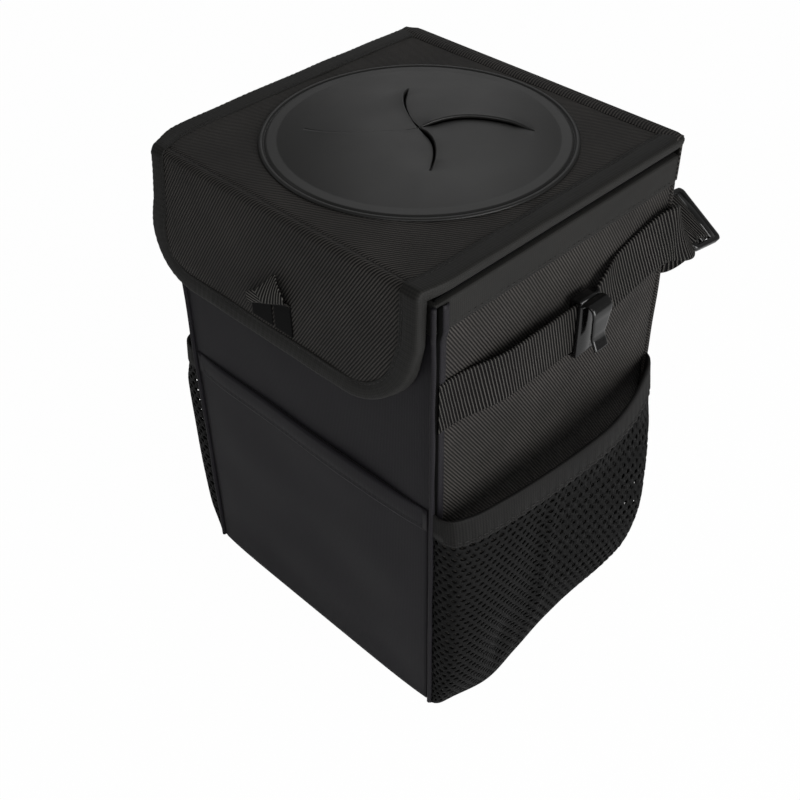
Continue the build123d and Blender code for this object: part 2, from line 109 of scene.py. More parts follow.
level = np.cross(camera_aim, (0, 0, 1))
level /= np.linalg.norm(level)
rise = np.cross(level, camera_aim)
right = cos(camera_roll) * level + sin(camera_roll) * rise
up = cos(camera_roll) * rise - sin(camera_roll) * level
camera = bpy.data.objects.new("camera", bpy.data.cameras.new("camera"))
camera.data.lens = camera_lens
camera.data.sensor_width = camera_sensor
camera.matrix_world = placed(right, up, -camera_aim, camera_place)
bpy.context.scene.collection.objects.link(camera)
bpy.context.scene.camera = camera
bpy.context.scene.view_settings.view_transform = "Standard"
print("camera", camera_lens, "mm lens")

# %% [markdown]
# A material here is a small tree of nodes. One function adds a node, sets its fields, and joins or fills
# its inputs. Another turns the sRGB hex value of a colour, as a paint program shows it, into the linear
# values that the renderer works in. Two more set the size of a pattern in millimetres.

# %% Helpers for materials
def add(tree, kind, inputs=None, **settings):
    """Adds a node. A setting is one of its fields, and an input is a value or another node's output."""
    made = tree.nodes.new(kind)
    for field, value in settings.items():
        setattr(made, field, value)
    for socket, value in (inputs or {}).items():
        if isinstance(value, bpy.types.NodeSocket):
            tree.links.new(value, made.inputs[socket])
        else:
            made.inputs[socket].default_value = value
    return made


def linear(colour):
    """A hex sRGB colour as linear red, green, blue and alpha."""
    parts = np.array([int(colour[place:place + 2], 16) for place in (1, 3, 5)]) / 255
    curve = np.where(parts <= 0.04045, parts / 12.92, ((parts + 0.055) / 1.055) ** 2.4)
    return (*curve.tolist(), 1.0)


def new_tree(name):
    """An empty material and its node tree."""
    material = bpy.data.materials.new(name)
    material.use_nodes = True
    material.node_tree.nodes.clear()
    return material, material.node_tree


def wave(tree, vector, pitch, way):
    """Waves that repeat every pitch millimetres: the texture turns 20 radians per unit of length."""
    scale = 2 * pi / 20 / (pitch * mm)
    inputs = {"Vector": vector, "Scale": scale, "Distortion": 0.6, "Detail": 1.0}
    return add(tree, "ShaderNodeTexWave", inputs, bands_direction=way).outputs["Fac"]


def noise(tree, vector, size, detail):
    """Chance patches about a size in millimetres across."""
    inputs = {"Vector": vector, "Scale": 1 / (size * mm), "Detail": detail}
    return add(tree, "ShaderNodeTexNoise", inputs).outputs[0]


# %% [markdown]
# The woven cloth on the bin is all black. What tells one cloth from another is the size of the weave, the
# angle of its lines and how much it shines. So one function weaves them all: two waves cross at a given
# angle and their mix is the height of the yarns. The same mix paints a highlight on the yarns' tops and
# shade in the hollows between them. The waves read the piece's own UV map, which holds lengths along the
# cloth.

# %% Woven cloth
def woven(name, dark, pale, line_pitch, cross_pitch, angle, depth, roughness, specular, sheen,
          cross_share=0.4, crest=1.0):
    """Woven yarn: crossed lines, painted highlight on their tops and shade between, slow patches of wear."""
    material, tree = new_tree(name)
    place = add(tree, "ShaderNodeUVMap").outputs[0]
    turned = add(tree, "ShaderNodeMapping", {"Vector": place, "Rotation": (0, 0, radians(angle))}).outputs[0]
    lines, crossing = wave(tree, turned, line_pitch, "X"), wave(tree, turned, cross_pitch, "Y")
    yarn = add(tree, "ShaderNodeMix", {0: cross_share, 2: lines, 3: crossing}).outputs[0]
    fuzz = noise(tree, place, size=1.1, detail=2.0)
    height = add(tree, "ShaderNodeMath", {0: fuzz, 1: 0.4, 2: yarn}, operation="MULTIPLY_ADD")
    slow = noise(tree, place, size=35, detail=3.0)
    wear = add(tree, "ShaderNodeMapRange", {"Value": slow, 1: 0.25, 2: 0.75, 3: 0.6, 4: 1.2})
    # Painted highlight and shade: the yarns' tops are painted paler and the hollows between them darker.
    crest_highlight = add(tree, "ShaderNodeMath", {0: yarn, 1: crest}, operation="POWER")
    wear_and_crest_highlight = add(tree, "ShaderNodeMath", {0: wear.outputs[0], 1: crest_highlight.outputs[0]}, operation="MULTIPLY")
    shades = {0: wear_and_crest_highlight.outputs[0], 6: linear(dark), 7: linear(pale)}
    colour = add(tree, "ShaderNodeMix", shades, data_type="RGBA")
    rough = add(tree, "ShaderNodeMapRange", {"Value": slow, 3: roughness - 0.06, 4: roughness + 0.06})
    bump = add(tree, "ShaderNodeBump", {"Height": height.outputs[0], "Strength": 0.7, "Distance": depth * mm})
    shader = add(tree, "ShaderNodeBsdfPrincipled", {
        "Base Color": colour.outputs[2], "Roughness": rough.outputs[0], "Normal": bump.outputs[0],
        "Specular IOR Level": specular, "Sheen Weight": sheen, "Sheen Roughness": 0.5})
    add(tree, "ShaderNodeOutputMaterial", {"Surface": shader.outputs[0]})
    return material


# The twill's real lines are 0.9 mm apart, under the picture's pixels, so they are drawn a little coarser.
# Its yarns carry a painted highlight on their tops and painted shade between them.
twill = woven("black polyester twill", "#000000", "#474441", 1.25, 0.7, -34, 0.35, 0.70, 0.20, 0.02,
              cross_share=0.06, crest=1.5)
# Satin hides its weave: a smooth face with a cool, slow shine.
satin = woven("black polyester satin", "#111013", "#211f24", 0.9, 0.6, 0, 0.05, 0.55, 0.18, 0.02)
# Binding tape is close and plain, so the eye sees only its folds and its stitches.
binding = woven("black binding tape", "#111110", "#242321", 1.1, 0.9, 90, 0.06, 0.60, 0.20, 0.02)
# Webbing shows heavy ribs across its run: painted highlight on the crests, painted shade in the valleys.
webbing = woven("black polypropylene webbing", "#000000", "#565451", 1.6, 1.2, 90, 0.30, 0.65, 0.10, 0.0,
                cross_share=0.03, crest=5.0)
# The lining is a plain even weave, dull and a little rough.
lining = woven("black plain weave lining", "#0e0e0d", "#2b2a28", 1.0, 1.0, 0, 0.10, 0.65, 0.20, 0.02)
# Grosgrain ribbon has ribs like the webbing's, a little wider, with a brighter painted highlight on them.
ribbon = woven("black grosgrain ribbon", "#000000", "#6e6c68", 1.8, 1.2, 0, 0.30, 0.65, 0.10, 0.0,
               cross_share=0.03, crest=3.5)
# Elastic tape is dull, and darkens the mouths of the net pockets.
elastic = woven("black elastic hem tape", "#050505", "#1d1c1b", 1.4, 0.9, 0, 0.15, 0.65, 0.15, 0.02)
print("materials with the woven cloths:", len(bpy.data.materials))

# %% [markdown]
# The petals are moulded rubber sheet: a smooth satin skin with a faint grain from the mould. The hooks
# and the slider are moulded nylon, much glossier, so they catch the bright surroundings as hard white
# edges. Yarn, thread, film and board have one colour too, so the same function makes them.

# %% Rubber, plastic, net and thread
def moulded(name, colour, roughness, specular, grain, depth):
    """One colour, a faint grain, and a gloss that varies slowly as it does on a used part."""
    material, tree = new_tree(name)
    place = add(tree, "ShaderNodeTexCoord").outputs["Object"]
    fine, slow = noise(tree, place, grain, detail=2.0), noise(tree, place, size=28, detail=3.0)
    rough = add(tree, "ShaderNodeMapRange", {"Value": slow, 3: roughness - 0.07, 4: roughness + 0.07})
    bump = add(tree, "ShaderNodeBump", {"Height": fine, "Strength": 0.5, "Distance": depth * mm})
    shader = add(tree, "ShaderNodeBsdfPrincipled", {
        "Base Color": linear(colour), "Roughness": rough.outputs[0], "Normal": bump.outputs[0],
        "Specular IOR Level": specular})
    add(tree, "ShaderNodeOutputMaterial", {"Surface": shader.outputs[0]})
    return material


# Rubber gives the dome a broad, soft highlight.
rubber = moulded("black moulded rubber", "#191918", 0.40, 0.40, 0.8, 0.03)
# Nylon gives the hooks and the slider hard, bright edges.
nylon = moulded("black moulded nylon", "#0c0c0c", 0.18, 0.55, 1.5, 0.02)
# Net yarn is nearly black and dull, so the pocket reads by its holes.
net_yarn = moulded("black knitted net yarn", "#060606", 0.65, 0.15, 0.4, 0.08)
# Thread is glossier than the cloth round it, so a stitch shows as a small light grain.
thread = moulded("black polyester thread", "#1b1a19", 0.50, 0.35, 0.3, 0.05)
# Film gives the inside a smooth grey sheen.
film = moulded("grey leakproof film", "#3a3b3d", 0.35, 0.45, 2.0, 0.05)
# Board is dull and black, so its edges don't show in the gap under the lid.
stiff_board = moulded("black polypropylene board", "#050505", 0.65, 0.08, 1.2, 0.04)
print("materials:", len(bpy.data.materials))

# %% [markdown]
# Each new piece is a grid: a formula gives a point for every pair of parameters, and each cell of four
# neighbouring points is a face. A patch keeps those points, the faces' corners and their cloth
# coordinates, and several patches can be joined into one piece. A sheet has to know its outer side,
# because its thickness grows inwards, so the patch is turned to face a given way.

# %% Rows, grids and lines
def spaced(low, high, step):
    """Even values from low to high, about a step apart."""
    return np.linspace(low, high, max(2, round(abs(high - low) / step) + 1))


def grid(rows, columns):
    """Two arrays that pair every row value with every column value."""
    return np.meshgrid(rows, columns, indexing="ij")


def joined(x, y, z):
    """Points from their three coordinates, any of which may be one number for all."""
    return np.stack(np.broadcast_arrays(x, y, z), axis=-1)


def at_height(plan, height):
    """Points of a flat plan, lifted to a height."""
    return joined(plan[..., 0], plan[..., 1], height)


def run_lengths(line):
    """Distance along a line of points, from its start to each of them."""
    return np.concatenate([[0], np.cumsum(np.linalg.norm(np.diff(line, axis=0), axis=1))])


def unit(vectors):
    """Vectors scaled to a length of one."""
    return vectors / np.linalg.norm(vectors, axis=-1, keepdims=True)


def bell(distance, width):
    """1 at no distance, falling smoothly to nothing on both sides over about twice the width."""
    return np.exp(-((distance / width) ** 2))


# %% From grids to pieces
weld_reach = 0.002


def patch(points, along, across, wrap_rows=False, wrap_columns=False, keep=None, towards=None):
    """A grid of points as vertices, four-cornered faces and cloth coordinates, all in millimetres.

    along and across are the cloth coordinates of the rows and columns, with one more value where the grid
    wraps round. towards is the way a sheet faces; a closed tube is turned so that its volume is positive.
    """
    rows, columns = points.shape[:2]
    numbers = np.arange(rows * columns).reshape(rows, columns)
    numbers = np.vstack([numbers, numbers[:1]]) if wrap_rows else numbers
    numbers = np.hstack([numbers, numbers[:, :1]]) if wrap_columns else numbers
    cloth_uv = np.stack(np.broadcast_arrays(np.asarray(along), np.asarray(across)), axis=-1)

    def corners(values):
        """The values at the four corners of every cell."""
        return np.stack([values[:-1, :-1], values[1:, :-1], values[1:, 1:], values[:-1, 1:]], axis=2)

    faces, uv = corners(numbers).reshape(-1, 4), corners(cloth_uv).reshape(-1, 4, 2)
    if keep is not None:
        faces, uv = faces[keep.ravel()], uv[keep.ravel()]
    flat = points.reshape(-1, 3)
    a, b, c = (flat[faces[:, corner]] for corner in (0, 1, 2))
    outward = a - flat.mean(axis=0) if towards is None else np.array(towards, float)
    if np.sum(np.cross(b - a, c - a) * outward) < 0:
        faces, uv = faces[:, ::-1], uv[:, ::-1]
    return flat, faces, uv


def make_piece(name, patches, weld=False):
    """One smooth-shaded mesh object from patches. Welding joins the points that share a place."""
    points, faces, uv = zip(*patches)
    starts = np.cumsum([0] + [len(part) for part in points[:-1]])
    faces = np.vstack([part + start for part, start in zip(faces, starts)])
    mesh = bpy.data.meshes.new(name)
    mesh.from_pydata((np.vstack(points) * mm).tolist(), [], faces.tolist())
    layer = mesh.uv_layers.new(name="cloth")
    layer.data.foreach_set("uv", (np.vstack(uv) * mm).ravel())
    work = bmesh.new()
    work.from_mesh(mesh)
    if weld:
        bmesh.ops.remove_doubles(work, verts=work.verts, dist=weld_reach * mm)
    bmesh.ops.delete(work, geom=[vert for vert in work.verts if not vert.link_faces], context="VERTS")
    work.to_mesh(mesh)
    work.free()
    mesh.polygons.foreach_set("use_smooth", np.ones(len(mesh.polygons), bool))
    mesh.update()
    piece = bpy.data.objects.new(name, mesh)
    bpy.context.scene.collection.objects.link(piece)
    return piece


def dress(piece, finish, body=None, stands_for=(), wall=0.0):
    """Gives a piece its finish, a thickness inwards, its body and the CAD nodes that it stands for."""
    piece.data.materials.append(finish)
    if wall:
        skin = piece.modifiers.new("thickness", "SOLIDIFY")
        skin.thickness = wall * mm
        skin.offset = -1.0
    if stands_for:
        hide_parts(*stands_for)
    if body:
        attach(piece, body)
    print(piece.name, len(piece.data.polygons), "faces")
    return piece


# %% [markdown]
# Board-backed cloth is nearly flat, but never quite. A few long sine waves with fixed directions give it
# a soft unevenness, which fades out towards the seams where the cloth is held.

# %% Slack in the cloth
slack_waves = 5


def slack(a, b, seed, shortest=28, longest=75):
    """The mean of five long waves in fixed chance directions: from about -1 to 1."""
    chance = np.random.default_rng(seed)
    draws = chance.uniform((0, shortest, 0), (2 * pi, longest, 2 * pi), (slack_waves, 3))
    total = 0
    for turn, length, phase in draws:
        total = total + np.sin((a * cos(turn) + b * sin(turn)) * 2 * pi / length + phase)
    return total / slack_waves


def fade(value, low, high, over):
    """0 at both ends of a range and 1 inside it, rising smoothly over a given distance from each end."""
    near = np.clip(np.minimum(value - low, high - value) / over, 0, 1)
    return near * near * (3 - 2 * near)


# %% [markdown]
# The four walls are single sheets. The front one is a smooth satin, and the others are a coarser twill.
# Each is a grid over its length and height, moved outwards by the slack, with the cloth's thickness added
# by Solidify. Walls and rim end a little below the CAD rim, which leaves the dark gap that shows under
# the lid.

# %% Walls
rim_gap = 1.9
rim_top = cad_rim_top - rim_gap
wall_swell, wall_step, wall_hold = 0.6, 2.0, 14
even_share, slack_share = 0.6, 0.4
wall_sides = [("front", 1, -1), ("rear", 1, 1), ("left", 0, -1), ("right", 0, 1)]
for seed, (side_name, axis, side) in enumerate(wall_sides):
    low, high = box_mm(f"{side_name}_panel")
    foot, top = low[2], high[2] - rim_gap
    half = half_width if axis else half_depth - cloth
    along, height = grid(spaced(-half, half, wall_step), spaced(foot, top, wall_step))
    held = fade(along, -half, half, wall_hold) * fade(height, foot, top, wall_hold)
    face = side * (half_depth if axis else half_width)
    out = face + side * wall_swell * held * (even_share + slack_share * slack(along, height, seed))
    points = joined(along, out, height) if axis else joined(out, along, height)
    facing = (0, side, 0) if axis else (side, 0, 0)
    wall_piece = make_piece(f"{side_name}_wall", [patch(points, along, height, towards=facing)])
    finish, slot = (satin, "front_cloth") if side_name == "front" else (twill, "oxford_cloth")
    dress(wall_piece, finish, "bin", [f"{side_name}_panel"], wall=cloth)

# %% [markdown]
# A round welt runs down each corner seam, and on the two sides the front cloth is turned round the corner
# as a narrow plain strip. In the groove between the two lies a near-black tube of painted shade, standing
# for the groove's shadow. The welt is a circle carried up the corner, a little uneven as folded cloth is.
# Both its ends shrink to a point, so the tube is closed.

# %% Corner welts
welt_radius, welt_step = 1.15, 2.0
welt_in, welt_proud = 0.1, 0.45
welt_wander, welt_uneven = 0.25, 0.12
band_gap, band_slope = 0.3, 3


def tube(centre_line, radii, sides=14):
    """A round tube along a rising line: a circle of each radius at each point, shrunk shut at both ends."""
    centre_line = np.vstack([centre_line[:1], centre_line, centre_line[-1:]])
    radii = np.concatenate([[0], radii, [0]])
    angle = np.linspace(0, 2 * pi, sides, endpoint=False)
    ring = joined(np.cos(angle), np.sin(angle), 0)
    points = centre_line[:, None, :] + radii[:, None, None] * ring[None]
    around = np.linspace(0, 2 * pi * radii.max(), sides + 1)
    return patch(points, run_lengths(centre_line)[:, None], around[None, :], wrap_columns=True)


def over_band(height):
    """How far the cloth steps out, in millimetres, where it passes over the rim band."""
    return (tape + band_gap) * np.clip((height - rim_foot) / band_slope + 1, 0, 1)


trims = {}
for place, side_y, finish, top in (("front", -1, satin, rim_top), ("rear", 1, twill, rim_foot)):
    height = spaced(cloth, top, welt_step)
    step = over_band(height) * (side_y < 0)
    welts = []
    for side_x in (-1, 1):
        wander = welt_wander * slack(height, 0 * height, 20 + side_x)
        welt_x = side_x * (half_width - welt_in + step) + wander
        welt_y = side_y * (half_depth + welt_proud + step) + wander
        radii = welt_radius + welt_uneven * slack(height, 0 * height, 30 + side_x)
        welts.append(tube(joined(welt_x, welt_y, height), radii))
    welt_piece = make_piece(f"{place}_corner_welts", welts, weld=True)
    trims[place] = [dress(welt_piece, finish, "bin")]

# %% Turned strips and painted groove shade
strip_width, strip_step, strip_sheet = 5.2, 2.5, 0.4
strip_uneven, strip_swell, strip_behind = 0.3, 0.2, 1.0
groove_shade_in, groove_shade_behind, groove_shade_radius = 0.3, 1.4, 1.3
strip_profile = np.array([(1.5, -0.6), (1.6, 0.3), (2.0, 0.75), (3.2, 0.85), (4.6, 0.75), (strip_width, 0.1)])
# Painted shade: a near-black, dull tube draws the shadowed groove as a dark line down the corner.
painted_groove_shade = moulded("painted groove shade", "#020202", 0.80, 0.05, 0.6, 0.10)
strip_patches, groove_shade_patches = [], []
strip_heights = spaced(cloth, rim_top - 1, strip_step)
for side in (-1, 1):
    height, column = grid(strip_heights, np.arange(len(strip_profile)))
    in_from_edge, proud = strip_profile[column, 0], strip_profile[column, 1]
    uneven = 1 + strip_uneven * slack(height, in_from_edge, 41)
    out = half_width + wall_swell * strip_swell + over_band(height) + proud * uneven
    points = joined(side * out, in_from_edge - half_depth + strip_behind, height)
    strip_patches.append(patch(points, height, in_from_edge, towards=(side, 0, 0)))
    # Painted shade: this near-black tube along the groove stands for the groove's shadow.
    groove_shade_x = side * (half_width - groove_shade_in + over_band(strip_heights))
    groove_shade_line = joined(groove_shade_x, groove_shade_behind - half_depth, strip_heights)
    groove_shade_patches.append(tube(groove_shade_line, np.full(len(groove_shade_line), groove_shade_radius), 8))
strips = make_piece("turned_corner_strips", strip_patches)
dress(strips, satin, "bin", wall=strip_sheet)
groove_shade = dress(make_piece("corner_groove_shade", groove_shade_patches, weld=True), painted_groove_shade, "bin")

# %% [markdown]
# The rim is bound with a smooth band, folded over the top edge of the walls. Seen from above it is a
# rectangle with round corners; in section it is an upside-down U. So each point of the U gets its own
# rectangle, and the rectangles together make a closed tube. A line of stitching puckers its lower edge.

# %% Rim band
def ring_plan(half_x, half_y, radius, side_steps, corner_steps):
    """Plan of a rectangle with round corners: four quarter circles, and straight sides between them."""
    turn = np.linspace(0, pi / 2, corner_steps)
    share = np.linspace(0, 1, side_steps + 2)[1:-1, None]
    arcs = []
    for quarter, (sign_x, sign_y) in enumerate(((1, 1), (-1, 1), (-1, -1), (1, -1))):
        angle = turn + quarter * pi / 2
        arcs.append(np.stack([sign_x * (half_x - radius) + radius * np.cos(angle),
                              sign_y * (half_y - radius) + radius * np.sin(angle)], axis=-1))
    plan = []
    for quarter in range(4):
        start, end = arcs[quarter][-1], arcs[(quarter + 1) % 4][0]
        plan += [arcs[quarter], start + share * (end - start)]
    return np.vstack(plan)


rim_height = rim_top - rim_foot
rim_inner, rim_corners = -5.0, (3.2, 1.2)
rim_stitch, rim_pucker_pitch = 2.0, 3.6
rim_pucker, pucker_reach, rim_ripple, ripple_hold = 0.22, 1.6, 0.30, 6
section_close = 8
outer_leg = [(tape, share) for share in np.linspace(0.04, 0.92, 22)]
inner_leg = [(rim_inner, share) for share in (0.94, 0.7, 0.4, 0.05)]
rim_profile = np.array([
    (0.0, 0.01), (0.6, -0.01), *outer_leg, (0.7, 0.98), (0.0, 1.0), (-2.0, 1.0), (-4.4, 0.99), *inner_leg,
    (-4.6, 0.0), (-4.2, 0.04), (-4.1, 0.9), (-2.0, 0.93), (0.0, 0.92), (0.0, 0.5)])
rim_radii = np.interp(rim_profile[:, 0], (rim_inner, tape), rim_corners)
plan = np.array([ring_plan(half_width + out, half_depth + out, radius, 120, 7)
                 for out, radius in zip(rim_profile[:, 0], rim_radii)])
length = np.cumsum(np.linalg.norm(np.diff(plan[0], axis=0, append=plan[0][:1]), axis=1))
height = rim_foot + rim_height * rim_profile[:, 1:]
by_stitch = bell(height - rim_foot - rim_stitch, pucker_reach)
pucker = rim_pucker * np.sin(2 * pi * length / rim_pucker_pitch)[None] * by_stitch
ripple = rim_ripple * slack(length[None], height, 50, 9, 30) * fade(height, rim_foot, rim_top, ripple_hold)
swell = (pucker + ripple) * (rim_profile[:, :1] > 0.9)
outward = plan / np.abs(plan).max(axis=2, keepdims=True)
around = run_lengths(rim_profile * (1, rim_height))
around = np.append(around, around[-1] + section_close)
rim_points = at_height(plan + outward * swell[..., None], height)
rim_patch = patch(rim_points, around[:, None], np.concatenate([[0], length])[None], True, True)
rim_band = dress(make_piece("rim_band", [rim_patch]), binding, "bin", ["rim_tape"])
trims["front"] += [strips, groove_shade, rim_band]

# %% [markdown]
# The lid and the flap are covered by one length of twill, which turns down over the front edge. A point
# on it has a distance along the cloth, measured from the middle of that fold, and a depth under its outer
# face. The fold is a quarter circle; deeper than its radius it becomes a plain corner. The finished cloth
# is attached to neither body, the lid nor the flap.

# %% The line over the fold
half_fold = fold_radius * pi / 4
lid_run = lid_rear - flap_face - fold_radius
flap_run = lid_top - fold_radius - flap_foot


def over_fold(run, depth):
    """y and z of the cloth: along the lid for run below zero, round the fold, then down the flap."""
    radius = np.maximum(fold_radius - depth, 0)
    centre_y = flap_face + depth + radius
    centre_z = lid_top - depth - radius
    turn = np.clip(run / half_fold, -1, 1) * pi / 4 + 3 * pi / 4
    on_lid = np.clip((-run - half_fold) / lid_run, 0, 1)
    on_flap = np.clip((run - half_fold) / flap_run, 0, 1)
    y = centre_y + radius * np.cos(turn) + on_lid * (lid_rear - centre_y)
    z = centre_z + radius * np.sin(turn) - on_flap * (centre_z - flap_foot)
    return y, z


print("lid run and flap run in mm:", lid_run, flap_run)

# %% [markdown]
# A sewn edge is never as straight as the board inside it. At the two front corners of the lid it is drawn
# in round the corner, on the left it stands out a little along the lid, and the flap hangs askew, to the
# left at its foot. One function moves points sideways, and both the cloth and its tape pass through it,
# so they stay together.

# %% Soft corners
left_draw, right_draw, left_stand = 5.2, 2.0, 2.0
corner_behind, corner_below = 9, 21
stand_start, stand_middle, stand_reach = 15, 80, 75
skew_rate, skew_from = 0.22, 26
taper_rate, taper_from, taper_left, taper_over = 0.125, 6, 20, 100


def soft_edges(points):
    """Moves points in x: in at the front corners, out along the lid's left edge, and left low on the flap."""
    x, y, z = np.moveaxis(points, -1, 0)
    behind, below = y - flap_face, lid_top - z
    at_fold = np.exp(-((behind / corner_behind) ** 2) - (below / corner_below) ** 2)
    on_lid = np.exp(-(((behind - stand_middle) / stand_reach) ** 4)) * np.clip(behind / stand_start, 0, 1)
    on_flap = bell(behind, corner_behind)
    skew = skew_rate * np.maximum(below - skew_from, 0) * on_flap
    to_right = np.clip((x + taper_left) / taper_over, 0, 1)
    taper = taper_rate * np.maximum(below - taper_from, 0) * to_right * on_flap
    left, right = np.clip(-x / lid_half, 0, 1) ** 3, np.clip(x / lid_half, 0, 1) ** 3
    shift = left * (left_draw * at_fold - left_stand * on_lid) - right * right_draw * at_fold - skew - taper
    return points + shift[..., None] * np.array([1, 0, 0])


# %% The cover cloth
petal_radius = box_mm("petal_cover")[1][0]
cloth_opening = petal_radius - 10.5
fold_stitch = -half_fold - 1.2
stack_half = lid_half - tape
stack_corner = flap_corner - tape
cover_columns, cover_hold = 110, 15
bulge_even, bulge_slack, fold_reach = 0.35, 0.45, 7
stitch_dent, dent_reach = 0.5, 0.9


def corner_inset(above_foot):
    """How far the flap's round lower corner cuts in from its straight side, at a height above its foot."""
    below_centre = np.maximum(stack_corner - above_foot, 0)
    return stack_corner - np.sqrt(np.maximum(stack_corner**2 - below_centre**2, 0))


run = np.concatenate([spaced(-half_fold - lid_run, -half_fold - 4, 1.6),
                      spaced(-half_fold - 3, half_fold + 3, 0.5),
                      spaced(half_fold + 4, half_fold + flap_run - tape, 1.3)])
row_half = stack_half - corner_inset(half_fold + flap_run - tape - run)
run_grid, share_grid = grid(run, np.linspace(-1, 1, cover_columns))
x = row_half[:, None] * share_grid
held = fade(x, -stack_half, stack_half, cover_hold) * fade(run_grid, run[0], run[-1], cover_hold)
bulge = held * (bulge_even + bulge_slack * slack(x, run_grid, 60, 22, 60)) * (1 - bell(run_grid, fold_reach))
stitched = stitch_dent * bell(run_grid - fold_stitch, dent_reach)
points = soft_edges(joined(x, *over_fold(run_grid, stitched - bulge)))
middle = (points[:-1, :-1] + points[1:, 1:]) / 2
keep = (np.hypot(middle[..., 0], middle[..., 1]) > cloth_opening) | (middle[..., 2] < lid_top - fold_radius)
cover_patch = patch(points, points[..., 0], run_grid, keep=keep, towards=(0, -1, 1))
cover_cloth = make_piece("cover_cloth", [cover_patch])
dress(cover_cloth, twill, None, ["lid_panel", "flap_panel"], wall=cloth)
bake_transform(cover_cloth)

# %% [markdown]
# A binding tape is folded over the raw edges of that cloth: forward along the lid's left edge, over the
# fold, down and round the flap, and back along the right edge. Its section is a sideways U. Each point of
# the section has an inset from the edge and a depth, and is carried along the whole route as one row of
# the grid.

# %% Edge tape
shown_width = tape_width - 1.5
section_step, edge_pucker_pitch = 1.2, 3.2
edge_pucker, edge_uneven = 0.10, 0.25
tape_section = np.array([
    (shown_width, 0.0), (shown_width - 0.15, -0.6), (shown_width - 0.7, -0.75), (shown_width - 1.5, -0.45),
    (shown_width - 2.4, -0.75), (5.5, -0.9), (3.5, -0.95), (1.8, -0.9), (0.7, -0.6), (0.1, 0.1), (0.0, 1.0),
    (0.3, 2.6), (0.8, 3.9), (1.8, 5.2), (4.0, 5.45), (8.0, 5.45), (shown_width - 0.7, 5.45),
    (shown_width, 5.0), (shown_width - 0.3, 4.5), (6.0, 4.45), (2.2, 4.4), (1.3, 2.7), (1.2, 0.6),
    (3.0, 0.1), (shown_width - 1, 0.1)])


def tape_route(inset, depth):
    """The taped edge's left half, from the lid's rear edge to the middle of the flap's foot."""
    lid_y, lid_z = over_fold(-half_fold - lid_run * np.linspace(1, 0, 110)[None], depth)
    fold_y, fold_z = over_fold(half_fold * np.linspace(-1, 1, 9)[None, 1:-1], depth)
    face_y = flap_face + depth
    upper = np.minimum(lid_top - fold_radius, lid_top - depth)
    corner_z = flap_foot + flap_corner
    side_z = upper + np.linspace(0, 1, 30)[None] * (corner_z - upper)
    angle = np.linspace(pi, 1.5 * pi, 26)[None, 1:]
    bend = flap_corner - inset
    foot_x = (flap_corner - lid_half) * np.linspace(1, 0, 60)[None, 1:]
    edge_x = inset - lid_half
    x = [edge_x + 0 * lid_y, edge_x + 0 * fold_y, edge_x + 0 * side_z,
         flap_corner - lid_half + bend * np.cos(angle), foot_x + 0 * inset]
    y = [lid_y, fold_y, face_y + 0 * side_z, face_y + 0 * angle, face_y + 0 * foot_x]
    z = [lid_z, fold_z, side_z, corner_z + bend * np.sin(angle), flap_foot + inset + 0 * foot_x]
    return joined(np.hstack(x), np.hstack(y), np.hstack(z))


def both_halves(left):
    """A left half of a route and its mirror image, as one run from the left end to the right one."""
    return np.concatenate([left, (left * (-1, 1, 1))[:, -2::-1]], axis=1)


edge_length = run_lengths(both_halves(tape_route(np.zeros((1, 1)), np.zeros((1, 1))))[0])
inset, depth = tape_section[:, :1], tape_section[:, 1:]
pucker = edge_pucker * np.sin(2 * pi * edge_length / edge_pucker_pitch)[None]
uneven = edge_uneven * slack(edge_length[None], inset * 3, 70, 12, 40)
points = both_halves(tape_route(inset, depth))
proud = both_halves(tape_route(inset, depth - 1))
points = soft_edges(points + (proud - points) * ((pucker + uneven) * (depth < 0))[..., None])
section_run = np.arange(len(tape_section) + 1)[:, None] * section_step
edge_tape = make_piece("edge_tape", [patch(points, section_run, edge_length[None], wrap_rows=True)])
dress(edge_tape, binding, None, ["lid_tape_left", "lid_tape_right", "flap_tape"])
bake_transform(edge_tape)

# %% [markdown]
# The petal cover is the showpiece: a sheet of rubber, moulded as a low dome and cut by four slits that
# curl from the centre. A slit is an arc of a circle through the centre, so at a radius r from the centre
# its direction has turned by the arcsine of r over the circle's diameter. Each petal is a polar grid
# between one such line and the next. Along a slit one lip stands a little proud and the other a little
# low.

# %% The dome
seat = box_mm("petal_cover")[0][2]
petal_sheet = 1.5
petal_rise = box_mm("petal_cover")[1][2] - seat - petal_sheet
dome_radius = petal_radius - 8.0
centre_sag, sag_reach = 2.2, 13
seam_radius = petal_radius - 2.6
groove_depth, groove_reach = 0.9, 0.5
edge_round, edge_drop = 1.0, 0.9


def dome(radius):
    """Height of the rubber's top: a dome that sags in the middle, a flat rim, a groove and a round edge."""
    height = seat + petal_sheet + petal_rise * np.maximum(1 - (radius / dome_radius) ** 2, 0)
    height = height - centre_sag * bell(radius, sag_reach)
    groove = groove_depth * bell(radius - seam_radius, groove_reach)
    edge = edge_drop * np.clip((radius - petal_radius + edge_round) / edge_round, 0, 1) ** 2
    return height - groove - edge


# %% The petals
slit_end = 48.4
slit_circle = slit_end / sin(radians(32.5))
slit_heading = 75.0
slit_reach = (slit_end, 36.0, slit_end, 37.0)
slit_width = (1.0, 1.0, 0.2, 1.0)
slit_taper = 6
lip_gap, lip_lift, lip_reach, low_share = 0.45, 1.0, 5, 0.8
centre_gap, centre_reach, widest_gap = 0.35, 6, 30
petal_r = np.concatenate([spaced(0.4, dome_radius - 1, 0.9), spaced(dome_radius - 0.5, petal_radius, 0.35)])
r, t = grid(petal_r, np.linspace(0, 1, 64))


def opened(number):
    """How far a slit stands open at each radius: full near the centre, and shut beyond its own reach."""
    inside = np.clip(1 - r / slit_reach[number % 4], 0, 1)
    return slit_width[number % 4] * np.minimum(slit_taper * inside, 1)


